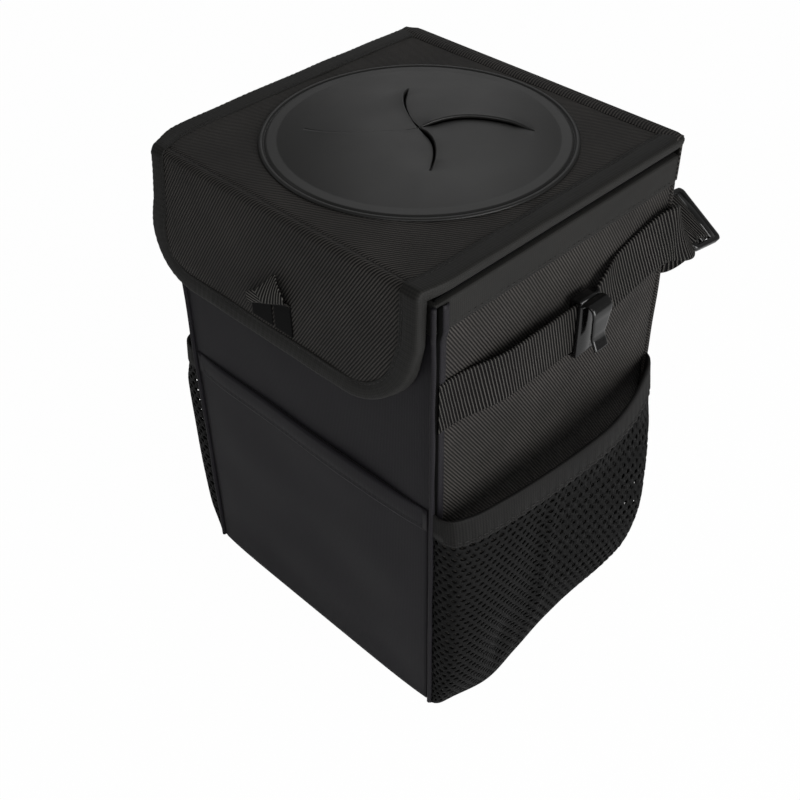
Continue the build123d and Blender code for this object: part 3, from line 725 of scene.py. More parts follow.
petals = []
gap = np.minimum(np.degrees((lip_gap + centre_gap * np.exp(-r / centre_reach)) / r), widest_gap)
curl = np.degrees(np.arcsin(np.minimum(r / slit_circle, 1)))
for number in range(4):
    start_open, end_open = opened(number), opened(number + 1)
    low_angle = slit_heading + 90 * number - curl + gap * start_open
    high_angle = low_angle + 90 - gap * (start_open + end_open)
    angle = np.radians(low_angle + t * (high_angle - low_angle))
    proud_lip = start_open * np.exp(-(t * r * pi / 2) / lip_reach)
    low_lip = low_share * end_open * np.exp(-((1 - t) * r * pi / 2) / lip_reach)
    lift = lip_lift * np.minimum(r / centre_reach, 1) * (proud_lip - low_lip)
    points = joined(r * np.cos(angle), r * np.sin(angle), dome(r) + lift)
    petals.append(patch(points, r, r * t * pi / 2, towards=(0, 0, 1)))
petal_cover = make_piece("petal_cover_rubber", petals, weld=True)
dress(petal_cover, rubber, "lid", ["petal_cover"], wall=petal_sheet)

# %% [markdown]
# The front pocket is a flat sheet of satin, sewn in at its sides and foot and bowed out a little towards
# its mouth. Its hem is the same cloth folded over a tape, so it stands slightly proud and reads as a
# plain band.

# %% Front pocket and its hem
pocket_half, _, pocket_top = box_mm("front_pocket")[1]
hem_foot, hem_top = (corner[2] for corner in box_mm("front_pocket_hem"))
pocket_bow, pocket_step, pocket_sheet, pocket_gap = 0.8, 2.0, 0.9, 0.25
bow_left, bow_over, bow_least = 45, 90, 0.1
pocket_slack, slack_top, slack_hold = 0.9, 150, 25
hem_stitch, hem_pucker_pitch, hem_sheet = 2.4, 3.1, 0.5
hem_pucker, hem_pucker_reach = 0.12, 1.2


def pocket_face(x, z, proud):
    """Depth y of the pocket's face: a bow that grows upwards and to the right, and ends at the sides."""
    to_right = np.clip((x + bow_left) / bow_over, 0, 1)
    fuller = bow_least + (1 - bow_least) * to_right
    bow = cloth + proud + pocket_bow * np.clip(z / pocket_top, 0, 1) * fuller
    side = 1 - np.abs(x / (pocket_half + 0.4)) ** 6
    held = fade(x, -pocket_half, pocket_half, slack_hold) * fade(z, 0, slack_top, slack_hold)
    return -half_depth - pocket_gap - bow * side - pocket_slack * slack(x, z, 80, 45, 120) * held


x, z = grid(spaced(-pocket_half, pocket_half, pocket_step), spaced(cloth, pocket_top - 1, pocket_step))
pocket_patch = patch(joined(x, pocket_face(x, z, 0), z), x, z, towards=(0, -1, 0))
front_pocket = make_piece("front_pocket_cloth", [pocket_patch])
dress(front_pocket, satin, "bin", ["front_pocket"], wall=pocket_sheet)

hem_section = np.array([
    (hem_foot, 0.15), (hem_foot + 0.2, 0.55), (hem_foot + 1.2, 0.75), (hem_foot + hem_stitch, 0.5),
    (hem_foot + 3.6, 0.8), (hem_foot + 7, 0.9), (hem_top - 2, 0.85), (hem_top - 0.5, 0.6),
    (hem_top, -0.2), (hem_top - 0.4, -1.4), (hem_top - 3, -1.7), (hem_foot + 1, -1.7)])
x, row = grid(spaced(-pocket_half, pocket_half, 1.0), np.arange(len(hem_section)))
z, proud = hem_section[row, 0], hem_section[row, 1]
pucker = hem_pucker * np.sin(2 * pi * x / hem_pucker_pitch)
pucker = pucker * bell(z - hem_foot - hem_stitch, hem_pucker_reach)
points = joined(x, pocket_face(x, z, proud + pucker * (proud > 0)), z)
hem_patch = patch(points, x, run_lengths(hem_section)[row], towards=(0, -1, 0))
front_hem = make_piece("front_pocket_hem_tape", [hem_patch])
dress(front_hem, satin, "bin", ["front_pocket_hem"], wall=hem_sheet)

# %% [markdown]
# Each side pocket is a bag of knitted net, gathered at its mouth by an elastic hem and tucked in at its
# foot. Its form is drawn as a few level lines, from the foot up to the mouth, each a row of
# distances out from the wall. A smooth curve through the rows, and then through the levels, gives a point
# for every place along the girth and height. A crease, a hollow and upright pleats are added on top.

# %% The form of a side pocket
def curve_through(knots, sample, ends):
    """Smooth curve through rows of numbers: cubic pieces with slopes from each knot's two neighbours."""
    slope = np.gradient(knots, ends, axis=0)
    span = np.clip(np.searchsorted(ends, sample, side="right") - 1, 0, len(ends) - 2)
    length = (ends[span + 1] - ends[span])[:, None]
    t = (sample - ends[span])[:, None] / length
    a, b, c, d = knots[span], knots[span + 1], slope[span] * length, slope[span + 1] * length
    return a + t * (c + t * (3 * (b - a) - 2 * c - d + t * (2 * (a - b) + c + d)))


net_foot, net_mouth = 1.5, box_mm("right_mesh_hem")[1][2]
net_girth = np.array([-75.2, -75.0, -72.8, -66.0, -48.0, -23.0, 0.0, 20.0, 44.0, 58.0, 68.0, 74.0, 75.6])
net_levels = np.array([net_foot, 14.0, 40.0, 75.0, 105.0, net_mouth])
net_out = np.array([
    (0.6, 2.5, 4.5, 6.5, 11.5, 10.0, 7.6, 6.6, 5.2, 4.4, 3.4, 1.8, 0.6),
    (0.6, 4.5, 8.0, 11.0, 14.5, 13.0, 11.5, 12.0, 12.5, 11.5, 8.5, 3.4, 0.6),
    (0.6, 6.0, 11.0, 14.5, 17.0, 18.0, 18.5, 19.5, 20.0, 18.5, 14.0, 5.4, 0.6),
    (0.6, 6.5, 12.0, 15.5, 19.0, 20.5, 21.5, 22.0, 21.5, 19.5, 14.0, 5.5, 0.6),
    (0.6, 6.5, 12.0, 15.5, 19.0, 21.0, 22.0, 22.0, 20.0, 16.5, 11.5, 4.5, 0.6),
    (0.6, 5.0, 9.0, 12.4, 16.2, 19.2, 20.6, 20.6, 16.0, 11.2, 7.0, 3.0, 0.6)])
net_ends = run_lengths(np.stack([net_out[-2], net_girth], axis=-1))
net_length = net_ends[-1]
pleat_pitch, pleat_height, pleat_front, pleat_over = 4.6, 0.55, -18, 6
pleat_sway, sway_length = 6, 60
gather_pitch, gather_height, gather_front, gather_over = 5.2, 0.3, -80, 8
gather_drop, gather_reach = 16, 8
edge_over, hem_depth, foot_over = 8, 13, 18
# Each ridge or groove is a height, a place along the depth of the bin and a width.
net_ridge, net_groove, net_loose = (1.4, -25.0, 1.5), (2.2, -21.5, 1.8), (3.5, -70, 7)
hollow_depth, hollow_y, hollow_z, hollow_long, hollow_tall = 3.5, -41, 30, 8, 22


def raised(y, height, place, width):
    """A smooth ridge of a height at a place."""
    return height * bell(y - place, width)


def net_surface(along, height, side, proud=0.0):
    """Points of the right (side 1) or left (-1) net at a place along its girth and a height, moved out."""
    shape = np.broadcast(along, height).shape
    along, height, proud = (np.broadcast_to(value, shape).ravel() for value in (along, height, proud))
    rows = curve_through(np.vstack([net_out, net_girth]).T, np.clip(along, 0, net_length), net_ends)
    levels = curve_through(np.eye(len(net_levels)), np.clip(height, net_foot, net_mouth), net_levels)
    y = rows[:, -1]
    out = np.sum(rows[:, :-1] * levels, axis=1)
    low = fade(height, net_foot, net_mouth - hem_depth, foot_over)
    crease = raised(y, *net_ridge) - raised(y, *net_groove)
    hollow = raised(y, hollow_depth, hollow_y, hollow_long) * bell(height - hollow_z, hollow_tall)
    sway = pleat_sway * np.cos(height / sway_length)
    pleats = pleat_height * np.sin(2 * pi * (y + sway) / pleat_pitch)
    pleats = pleats * np.clip((y - pleat_front) / pleat_over, 0, 1)
    gathers = gather_height * np.sin(2 * pi * along / gather_pitch)
    gathers = gathers * np.clip((y - gather_front) / gather_over, 0, 1)
    gathers = gathers * bell(height - net_mouth + gather_drop, gather_reach)
    edge = np.clip(np.minimum(along, net_length - along) / edge_over, 0, 1)
    loose_end = raised(y, *net_loose) * low * (side < 0)
    folds = low * (crease + pleats - hollow) + gathers
    out = out + edge * folds + np.minimum(edge * 4, 1) * loose_end
    return joined(side * (half_width + out + proud), y, height).reshape(*shape, 3)


print("net girth in mm:", round(net_length, 1))

# %% [markdown]
# A net is full of holes, and here they are real ones, so the twill behind shows dark through them. The
# net is a honeycomb: every cell is a ring of six faces between a six-sided edge, which it shares with its
# neighbours, and a smaller six-sided hole. All cells come from one ring copied to rows that are shifted
# by half a cell, and the edges are joined by welding. Behind the crease the net is drawn together, so its
# holes are slits.

# %% The net
hole_pitch, hole_rows, hole_share = 4.4, 3.3, 0.56
slit_start, slit_over, slit_narrow, slit_tall = 64, 12, 0.22, 0.18
hem_cover, floor_dip = 12.5, 0.6
least_face = 0.05
hexagon = np.array([(0, 2 / 3), (0.5, 1 / 3), (0.5, -1 / 3), (0, -2 / 3), (-0.5, -1 / 3), (-0.5, 1 / 3)])


def net_patch(side):
    """Rings round hexagonal holes over the pocket's surface; side is 1 for the right and -1 for the left."""
    hem_line = net_mouth - hem_cover
    columns = int(net_length // hole_pitch)
    pitch = net_length / columns
    rows = int((hem_line - net_foot) // hole_rows)
    rise = (hem_line - net_foot) / rows
    column, row = grid(np.arange(-1, columns + 1), np.arange(rows + 1))
    middle = np.stack([(column + 0.5 * (row % 2)) * pitch, net_foot + row * rise], axis=-1).reshape(-1, 1, 2)
    corner = hexagon * (pitch, rise)
    behind = np.clip((middle[..., 0] - slit_start) / slit_over, 0, 1)[..., None]
    squeeze = np.concatenate([hole_share - slit_narrow * behind, hole_share + slit_tall * behind], axis=-1)
    both = np.stack([middle + corner, middle + corner * squeeze], axis=1)
    both = np.clip(both, (0, net_foot), (net_length, hem_line))
    points = net_surface(both[..., 0], both[..., 1], side)
    points = np.concatenate([points, points[:, :, :1]], axis=2)
    flat_uv = np.concatenate([both, both[:, :, :1]], axis=2).reshape(-1, 2)
    numbers = np.arange(points[..., 0].size).reshape(points.shape[:3])
    outer, inner = numbers[:, 0], numbers[:, 1]
    faces = np.stack([outer[:, :-1], outer[:, 1:], inner[:, 1:], inner[:, :-1]], axis=-1).reshape(-1, 4)
    flat = points.reshape(-1, 3)
    a, b, c, d = (flat[faces[:, place]] for place in range(4))
    normal = np.cross(c - a, d - b)
    good = np.linalg.norm(normal, axis=1) > least_face
    faces = faces if np.sum(normal[:, 0]) * side > 0 else faces[:, ::-1]
    return flat, faces[good], flat_uv[faces[good]]


def net_hem(side):
    """Folded elastic tape over the mouth: an upside-down U carried along the gathered girth."""
    section = np.array([
        (-14.3, 0.2), (-14.2, 0.8), (-13.2, 1.0), (-12.0, 0.75), (-10.5, 1.05), (-6, 1.1), (-2, 1.05),
        (-0.5, 0.8), (0.0, 0.0), (-0.3, -0.8), (-2, -1.0), (-9, -1.0), (-13, -0.9)])
    along, row = grid(spaced(0, net_length, 1.0), np.arange(len(section)))
    drop, proud = section[row, 0], section[row, 1]
    return patch(net_surface(along, net_mouth + drop, side, proud), along, drop, towards=(side, 0, 0))


def net_floor(side):
    """The net's foot, turned in under the pocket and sewn to the base: solid, as it is folded double."""
    along, share = grid(spaced(0, net_length, 2.0), np.linspace(0, 1, 5))
    points = net_surface(along, net_foot + 0 * along, side)
    edge = side * (half_width + 0.3)
    x = edge + (points[..., 0] - edge) * (1 - share)
    points = joined(x, points[..., 1], net_foot - floor_dip * np.sin(pi * share))
    return patch(points, along, share * 10, towards=(0, 0, -1))


# The net is cut wider than its girth for the gather and longer for the turned foot; holes take a part.
net_sheet, net_hem_sheet = 0.8, 0.5
for side_name, side in (("right", 1), ("left", -1)):
    net = make_piece(f"{side_name}_net", [net_patch(side), net_floor(side)], weld=True)
    dress(net, net_yarn, "bin", [f"{side_name}_mesh_pocket"], wall=net_sheet)
    hem = make_piece(f"{side_name}_net_hem", [net_hem(side)])
    dress(hem, elastic, "bin", [f"{side_name}_mesh_hem"], wall=net_hem_sheet)

# %% [markdown]
# The strap is one length of webbing, sewn into the front right corner, led back along the side, twisted
# flat through the slider and on round the back to the front left corner. Stations along it hold its
# middle and the direction across it, and a smooth curve through them carries a thin section. The ribs
# across the webbing lie in the material. Only low down behind the right hook do a few ridges run along
# the form.

# %% The slider's place
strap_inset = 2.3
strap_low, strap_high = box_mm("right_hook")[0][2] + strap_inset, box_mm("right_hook")[1][2] - strap_inset
strap_mid, strap_half = (strap_low + strap_high) / 2, (strap_high - strap_low) / 2
strap_sheet = 1.6
strap_x = half_width + 6.0
slider_middle = np.array([half_width - 2.5, half_depth + 23.0, strap_mid + 7.0])
slider_pitch, slider_roll = radians(-10.0), radians(60.0)
slider_run = np.array([0, cos(slider_pitch), sin(slider_pitch)])
slider_lift = np.array([0, -sin(slider_pitch), cos(slider_pitch)])


def width_axis(roll):
    """Direction across the webbing, from its upper edge to its lower one, at a roll about its run."""
    return np.array([1, 0, 0]) * sin(roll) - slider_lift * cos(roll)


slider_across = width_axis(slider_roll)
slider_normal = np.cross(slider_across, slider_run)


def slider_point(along, above):
    """A place on the slider's middle line, along its run and above its plate."""
    return slider_middle + slider_run * along + slider_normal * above


# %% Stations of the strap
plumb = np.array([0, 0, -1.0])
hook_middle = 9.75
straight_end = hook_middle + 7.25
rise_end = half_depth - 4.5
rear_y = half_depth + 13.0
over_bar = 2.45
rear_corner = 16.0
front_stations = [
    (half_width + 0.9, -73.7), (half_width + 0.9, -66), (half_width + 2.0, -57), (half_width + 4.4, -47),
    (strap_x - 0.2, -38), (strap_x, -28), (strap_x, 0), (strap_x, straight_end)]
# Each row of the rise is its share of the way, then the strap's move inwards, its lift and its roll.
rise_stations = ((0.15, 0.8, 4.6, 4), (0.32, 1.8, 7.8, 9), (0.5, 1.8, 10.4, 10), (0.7, 1.2, 13.2, 10),
                 (0.86, 0.4, 15.4, 10))
# Each row round the corner is a move outwards, a place behind the rear wall, a lift and a roll.
turn_stations = ((1.0, -4.5, 16.0, 12.0), (1.6, 2.5, 13.2, 27.0), (-1.6, 8.5, 10.3, 45.0))
# Each row that leaves the slider is a move outwards, a move back, a lift and a lean.
leaving_stations = ((-15.0, 1.0, -8.0, -15.0), (-36.0, 1.0, -5.0, -5.0))

stations = [((x, y, strap_mid), plumb) for x, y in front_stations]
for share, inward, lift, roll in rise_stations:
    place = (strap_x - inward, straight_end + share * (rise_end - straight_end), strap_mid + lift)
    stations.append((place, width_axis(radians(roll))))
for out, behind, lift, roll in turn_stations:
    stations.append(((strap_x + out, half_depth + behind, strap_mid + lift), width_axis(radians(roll))))
stations.append((slider_point(-11, over_bar), slider_across))
stations += [(slider_point(over_bar * sin(turn), over_bar * cos(turn)), slider_across)
             for turn in (0, pi / 4, pi / 2)]
stations.append((slider_point(over_bar, -6.0), slider_across))
for out, behind, lift, pitch in leaving_stations:
    lean = plumb * cos(radians(pitch)) + np.array([-1, 0, 0]) * sin(radians(pitch))
    stations.append(((strap_x + out, rear_y + behind, strap_mid + lift), lean))
arc = [(-strap_x + rear_corner - rear_corner * sin(turn), rear_y - rear_corner + rear_corner * cos(turn))
       for turn in np.radians((0, 22.5, 45, 67.5, 90))]
left_run = [(-strap_x, y) for y in (60.0, 45.0, 30.0, 15.0)]
back_stations = [(strap_x - 52, rear_y), (0, rear_y), (-40, rear_y), *arc, *left_run,
                 *[(-x, y) for x, y in front_stations[-2::-1]]]
stations += [((x, y, strap_mid), plumb) for x, y in back_stations]
knots = np.array([np.concatenate(station) for station in stations])
knot_ends = run_lengths(knots[:, :3])
print("strap length in mm:", round(knot_ends[-1], 1))

# %% Weave and sweep the strap
rib_pitch, rib_slant, rib_height = 2.3, -0.25, 0.18
thin_edge, edge_inset = 0.35, 0.25
strap_along = spaced(0, knot_ends[-1], 0.6)
route = curve_through(knots, strap_along, knot_ends)
middle, across = route[:, :3], route[:, 3:]
heading = unit(np.gradient(middle, strap_along, axis=0))
across = unit(across - 0.4 * heading * np.sum(across * heading, axis=1, keepdims=True))
face_way = unit(np.cross(heading, across))
top_share = np.linspace(-1, 1, 34)
flat_half = strap_half - edge_inset
offset = np.concatenate([top_share, -top_share]) * flat_half
face_side = np.repeat([1.0, -1.0], len(top_share))
stretched = ((middle[:, 0] > 0) & (middle[:, 1] > hook_middle) & (middle[:, 1] < half_depth - 4))[:, None]
ribs_along = rib_height * np.abs(np.sin(pi * offset / rib_pitch))[None] * stretched * (offset > 2)
flat_edge = np.clip((flat_half - np.abs(offset)) / 0.8, 0, 1)[None]
thick = (thin_edge + (strap_sheet / 2 - thin_edge + ribs_along) * flat_edge**0.5) * face_side[None]
points = middle[:, None] + across[:, None] * offset[None, :, None] + face_way[:, None] * thick[..., None]
across_uv, along_uv = np.meshgrid(np.append(offset, offset[0]), strap_along)
strap_patch = patch(points, across_uv, along_uv + rib_slant * across_uv, wrap_columns=True)
dress(make_piece("carry_strap_webbing", [strap_patch]), webbing, "bin", ["carry_strap"])

# %% [markdown]
# The slider and the hooks are moulded. The slider is a rounded frame with two bars across it: the frame
# is a round-cornered ring with a bevelled section, and a bar is a flattened tube. A hook is the same kind
# of ring, tall and thin, round the strap, with a springy leaf that arches over its top and flares at the
# tip. The leaf is a section carried along a smooth curve.

# %% Slider
least_corner = 0.4


def ring_body(half_x, half_y, wall_x, wall_y, thickness, corner, edge):
    """A flat ring with round corners: a section with bevelled edges, each point on its own outline."""
    half = thickness / 2
    section = ((edge, half), (0, half - edge), (0, edge - half), (edge, -half),
               (1 - edge, -half), (1, edge - half), (1, half - edge), (1 - edge, half))
    rings = []
    for share, level in section:
        radius = max(corner * (1 - share), least_corner)
        outline = ring_plan(half_x - share * wall_x, half_y - share * wall_y, radius, 8, 8)
        rings.append(at_height(outline, level))
    return np.array(rings)


def closed_patch(points):
    """A patch from a grid that closes on itself both ways, with plain counts for its cloth coordinates."""
    rows, columns = points.shape[:2]
    return patch(points, np.arange(rows + 1)[:, None], np.arange(columns + 1)[None], True, True)


def tube_patch(points):
    """A patch from a grid of rings that shrink to a point at both ends, with plain counts for coordinates."""
    rows, columns = points.shape[:2]
    return patch(points, np.arange(rows)[:, None], np.arange(columns + 1)[None], wrap_columns=True)


def oval(count, power_x, power_y):
    """A square-shouldered oval: the cosine and the sine of a turn, each raised to a power below one."""
    angle = np.linspace(0, 2 * pi, count, endpoint=False)
    turn = np.stack([np.cos(angle), np.sin(angle)], axis=-1)
    return np.sign(turn) * np.abs(turn) ** np.array((power_x, power_y))


def bar_body(half_length, half_wide, half_thick):
    """A straight bar along its first axis with an oval section and closed ends."""
    section = oval(16, 0.6, 0.6) * (half_wide, half_thick)
    size = np.array([0, 1, 1, 0])[:, None]
    return joined(np.array([-1, -1, 1, 1])[:, None] * half_length, size * section[:, 0], size * section[:, 1])


slider_half = (15.5, 11.0)
slider_wall = (2.5, 3.25)
slider_thick, slider_corner, slider_edge = 3.0, 3.0, 0.3
bar_half_length, bar_half_thick = 13.6, 1.4
slider_axes = np.stack([slider_across, slider_run, slider_normal])
slider_ring = ring_body(*slider_half, *slider_wall, slider_thick, slider_corner, slider_edge)
slider_patches = [closed_patch(slider_ring @ slider_axes + slider_middle)]
for bar_half_wide, along in ((1.6, -1.7), (2.4, 6.4)):
    bar = bar_body(bar_half_length, bar_half_wide, bar_half_thick)
    slider_patches.append(tube_patch(bar @ slider_axes + slider_point(along, 0)))
slider = make_piece("strap_slider_moulding", slider_patches, weld=True)
dress(slider, nylon, "bin", ["strap_slider"])

# %% Hooks
hook_half = 6.25
hook_ring_half = (3.1, 14.8)
hook_wall, hook_corner, hook_edge = 2.0, 1.5, 0.2
leaf_thick, leaf_root = 1.8, 12
leaf_heights, leaf_widths = (182.0, 187.6, 200.8), (4.4, 4.25, hook_half)
leaf_knots = np.array([
    (88.1, 196.5), (88.1, 200.8), (88.6, 202.7), (90.0, 204.0), (91.7, 204.4), (93.5, 203.9), (94.9, 202.4),
    (95.3, 200.6), (95.0, 197.0), (94.6, 191.0), (94.4, 188.6), (94.8, 187.0), (95.8, 184.9), (97.1, 182.2)])
leaf_ends = run_lengths(leaf_knots)


def hook_patches(side):
    """The right or left hook: a ring round the strap and a leaf, whose width tapers to the throat."""
    ring = ring_body(*hook_ring_half, hook_wall, hook_wall, 2 * hook_half, hook_corner, hook_edge)
    ring = joined(strap_x + ring[..., 0], hook_middle + ring[..., 2], strap_mid + ring[..., 1])
    line = curve_through(leaf_knots, spaced(0, leaf_ends[-1], 0.5), leaf_ends)
    heading = unit(np.gradient(line, axis=0))
    outward = np.stack([-heading[:, 1], heading[:, 0]], axis=-1)
    width = np.interp(line[:, 1], leaf_heights, leaf_widths)
    width[:leaf_root] = hook_half
    section = oval(20, 0.35, 0.5)
    shrink = np.concatenate([[0], np.ones(len(line) - 2), [0]])[:, None]
    lift = shrink * section[None, :, 1] * leaf_thick / 2
    leaf_y = hook_middle + shrink * width[:, None] * section[None, :, 0]
    leaf = joined(line[:, :1] + outward[:, :1] * lift, leaf_y, line[:, 1:] + outward[:, 1:] * lift)
    return [closed_patch(ring * (side, 1, 1)), tube_patch(leaf * (side, 1, 1))]


for side_name, side in (("right", 1), ("left", -1)):
    hook = make_piece(f"{side_name}_hook_moulding", hook_patches(side), weld=True)
    dress(hook, nylon, f"{side_name}_hook", [f"{side_name}_hook"])

# %% [markdown]
# A ribbon sewn to the flap is the tab that opens it. It goes up, is folded to a point and comes down
# again, so it shows two fans of ribs that meet at a slanting fold, above two plain dark legs. Its outline
# is a house with an off-centre roof, and its face bows off the flap. The ribs lie in the material: the
# cloth coordinate fans out over the right half, runs up the left lobe, and stays the same all over the
# legs.

# %% Pull tab
tab_foot = box_mm("pull_tab")[0][2]
tab_left, tab_right = -17.0, 8.2
tab_shoulder, tab_point = -10.0, 2.4
tab_slot, slot_half, slot_height = -3.2, 0.9, 11.5
tab_step, tab_sheet = 0.35, 0.6
leg_height, leg_slope, leg_blend = 6.1, 0.437, 1.5
lobe_height, lobe_slope, lobe_slant = 209, 0.54, 0.15
leg_proud, tab_proud, tab_bow, bow_middle, bow_reach = 0.7, 1.0, 1.6, 7, 9
tab_gap, fold_step = 0.1, 0.5
fan_x, fan_z, fan_reach = 16.5, 254.0, 52.0
roof_x = (tab_left, tab_shoulder, tab_point, tab_right - 1.1, tab_right)
roof_z = (205.0, 209.5, 222.5, 215.0, 209.0)
x = np.concatenate([spaced(tab_left, tab_slot - 0.8, tab_step), spaced(tab_slot + 0.8, tab_right, tab_step)])
x_grid, share_grid = grid(x, np.linspace(0, 1, 60))
z_grid = tab_foot + share_grid * (np.interp(x, roof_x, roof_z)[:, None] - tab_foot)
leg_top = tab_foot + leg_height + leg_slope * (x_grid - tab_left)
above_legs = np.clip((z_grid - leg_top) / leg_blend + 0.5, 0, 1)
swelling = np.clip(1 - ((z_grid - leg_top - bow_middle) / bow_reach) ** 2, 0, 1)
bow = leg_proud + above_legs * (tab_proud + tab_bow * swelling)
lobe = x_grid < tab_shoulder + lobe_slope * (lobe_height - z_grid)
depth = bow + fold_step * above_legs * ~lobe
fan = (x_grid - fan_x) * fan_reach / (fan_z - z_grid)
rib_place = np.where(lobe, z_grid + lobe_slant * x_grid, fan) * (z_grid > leg_top)
middle_x, middle_z = ((values[:-1, :-1] + values[1:, 1:]) / 2 for values in (x_grid, z_grid))
keep = ~((np.abs(middle_x - tab_slot) < slot_half) & (middle_z < tab_foot + slot_height))
points = joined(x_grid, flap_face - tab_gap - depth, z_grid)
pull_tab = make_piece("pull_tab_ribbon", [patch(points, rib_place, z_grid, keep=keep, towards=(0, -1, 0))])
dress(pull_tab, ribbon, "flap", ["pull_tab"], wall=tab_sheet)

# %% [markdown]
# Every seam is held by a row of stitches. A stitch is a small closed grain of thread, longer than it is
# thick, half sunk in the cloth. One grain of a few dozen faces is copied along a line of points at an
# even pitch, and turned to lie along it, all in one array.

# %% One row of stitches
stitch_length, stitch_pitch, stitch_thick, stitch_sink = 2.3, 3.1, 0.5, 0.05
heading_step = 0.4
grain_u, grain_v = grid(np.linspace(0, pi, 6), np.linspace(0, 2 * pi, 6, endpoint=False))
grain = joined(np.cos(grain_u) * stitch_length / 2, np.sin(grain_u) * np.cos(grain_v) * stitch_thick / 2,
               np.sin(grain_u) * np.sin(grain_v) * stitch_thick / 2)
grain_points, grain_faces, grain_uv = tube_patch(grain)


def stitch_row(line, normal):
    """Copies of the grain at an even pitch along a line of points, sunk a little below its surface."""
    line = np.asarray(line, float)
    ends = run_lengths(line)
    place = np.arange(stitch_pitch / 2, ends[-1], stitch_pitch)

    def along(values, shift=0.0):
        """Values at the stitches' middles, or a shift further along."""
        return np.stack([np.interp(place + shift, ends, values[:, axis]) for axis in range(3)], axis=-1)

    heading = unit(along(line, heading_step) - along(line, -heading_step))
    up = unit(along(np.broadcast_to(np.asarray(normal, float), line.shape)))
    axes = np.stack([heading, np.cross(up, heading), up], axis=1)
    points = (grain_points @ axes) + (along(line) - stitch_sink * up)[:, None]
    faces = grain_faces[None] + (np.arange(len(place)) * len(grain_points))[:, None, None]
    return points.reshape(-1, 3), faces.reshape(-1, 4), np.tile(grain_uv, (len(place), 1, 1))


def sew(body, rows):
    """The stitches of one body, as one piece."""
    return dress(make_piece(f"{body}_stitches", rows, weld=True), thread, body)


# %% Stitches on the lid, the flap and the bin
edge_stitch_in, edge_stitch_out = 1.5, 0.5
net_stitch_drop, net_stitch_out = 12.0, 0.85
circle = np.linspace(0, 2 * pi, 241)
disc_line = joined(seam_radius * np.cos(circle), seam_radius * np.sin(circle), dome(seam_radius))
fold_x = np.linspace(shown_width - lid_half, lid_half - shown_width, 60)
fold_line = joined(fold_x, *over_fold(np.array([fold_stitch]), np.array([0.3])))
edge_y = np.linspace(flap_face + 6, lid_rear - 1, 60)
edge_x = lid_half - shown_width + edge_stitch_in
lid_edges = [soft_edges(joined(side * edge_x, edge_y, lid_top + edge_stitch_out)) for side in (-1, 1)]
sew("lid", [stitch_row(line, (0, 0, 1)) for line in (disc_line, fold_line, *lid_edges)])

flap_row = tape_route(np.array([[shown_width - edge_stitch_in]]), np.array([[-edge_stitch_out]]))
flap_route = soft_edges(both_halves(flap_row))[0]
sew("flap", [stitch_row(flap_route[flap_route[:, 2] < lid_top - 6], (0, -1, 0))])

rim_line = ring_plan(half_width + tape, half_depth + tape, 1.2, 40, 6)
rim_line = at_height(np.vstack([rim_line, rim_line[:1]]), rim_foot + rim_stitch)
rim_out = rim_line * (1, 1, 0) / np.abs(rim_line[:, :2]).max(axis=1, keepdims=True)
hem_x = spaced(-pocket_half + 2, pocket_half - 2, 2.0)
hem_z = hem_foot + hem_stitch + 0 * hem_x
net_along = spaced(2, net_length - 2, 1.0)
net_z = net_mouth - net_stitch_drop + 0 * net_along
net_rows = [stitch_row(net_surface(net_along, net_z, side, net_stitch_out), (side, 0, 0)) for side in (-1, 1)]
hem_row = stitch_row(joined(hem_x, pocket_face(hem_x, hem_z, 0.5), hem_z), (0, -1, 0))
sew("bin", [stitch_row(rim_line, rim_out), hem_row, *net_rows])

# %% [markdown]
# Inside, a bag of leakproof film lines the boards. It is a round-cornered ring whose rows run up the
# inner face, with a floor drawn in rings that close at the middle. Under the bin lies a flat sheet of
# twill.

# %% Liner and base
liner_low, liner_high = box_mm("liner")
liner_inset = 0.8
liner_half = liner_high[:2] - liner_inset
liner_corner, liner_step, liner_sheet = 4.2, 6, 0.6
floor_lift, wall_lift = 0.9, 2.5
wrinkle_depth, wrinkle_radius, wrinkle_fade = 0.35, 75, 20
floor_shrink = (0.03, 0.25, 0.5, 0.75, 0.9, 0.97)
liner_rows = [(share, liner_low[2] + floor_lift) for share in floor_shrink]
liner_rows += [(1.0, level) for level in spaced(liner_low[2] + wall_lift, liner_high[2], liner_step)]
liner_grid = []
for share, level in liner_rows:
    outline = ring_plan(*(liner_half * share), liner_corner * share, 60, 6)
    around = np.linspace(0, 2 * pi, len(outline))
    wrinkle = wrinkle_depth * slack(around * wrinkle_radius, np.full(len(outline), level), 90, 20, 60)
    wrinkle = wrinkle * min(1, (liner_high[2] - level) / wrinkle_fade) * (share == 1)
    liner_grid.append(at_height(outline * (1 - np.abs(wrinkle[:, None]) / wrinkle_radius), level))
liner_grid = np.array(liner_grid)
around = np.arange(liner_grid.shape[1] + 1)[None] * 2.5
liner_patch = patch(liner_grid, np.arange(len(liner_rows))[:, None] * 6.0, around, wrap_columns=True)
floor_disc = np.concatenate([liner_grid[:1] * (0, 0, 1), liner_grid[:1]])
disc_patch = patch(floor_disc, np.arange(2)[:, None] * 2.0, around, wrap_columns=True)
liner_parts = [(points, faces[:, ::-1], uv[:, ::-1]) for points, faces, uv in (liner_patch, disc_patch)]
liner = make_piece("liner_film", liner_parts, weld=True)
dress(liner, film, "bin", ["liner"], wall=liner_sheet)

base_inset, base_step = 1.5, 8
base_half_x, base_half_y = half_width - base_inset, half_depth - base_inset
x, y = grid(spaced(-base_half_x, base_half_x, base_step), spaced(-base_half_y, base_half_y, base_step))
base = make_piece("base_cloth", [patch(joined(x, y, 0.0), x, y, towards=(0, 0, -1))])
dress(base, twill, "bin", ["base_panel"], wall=cloth)

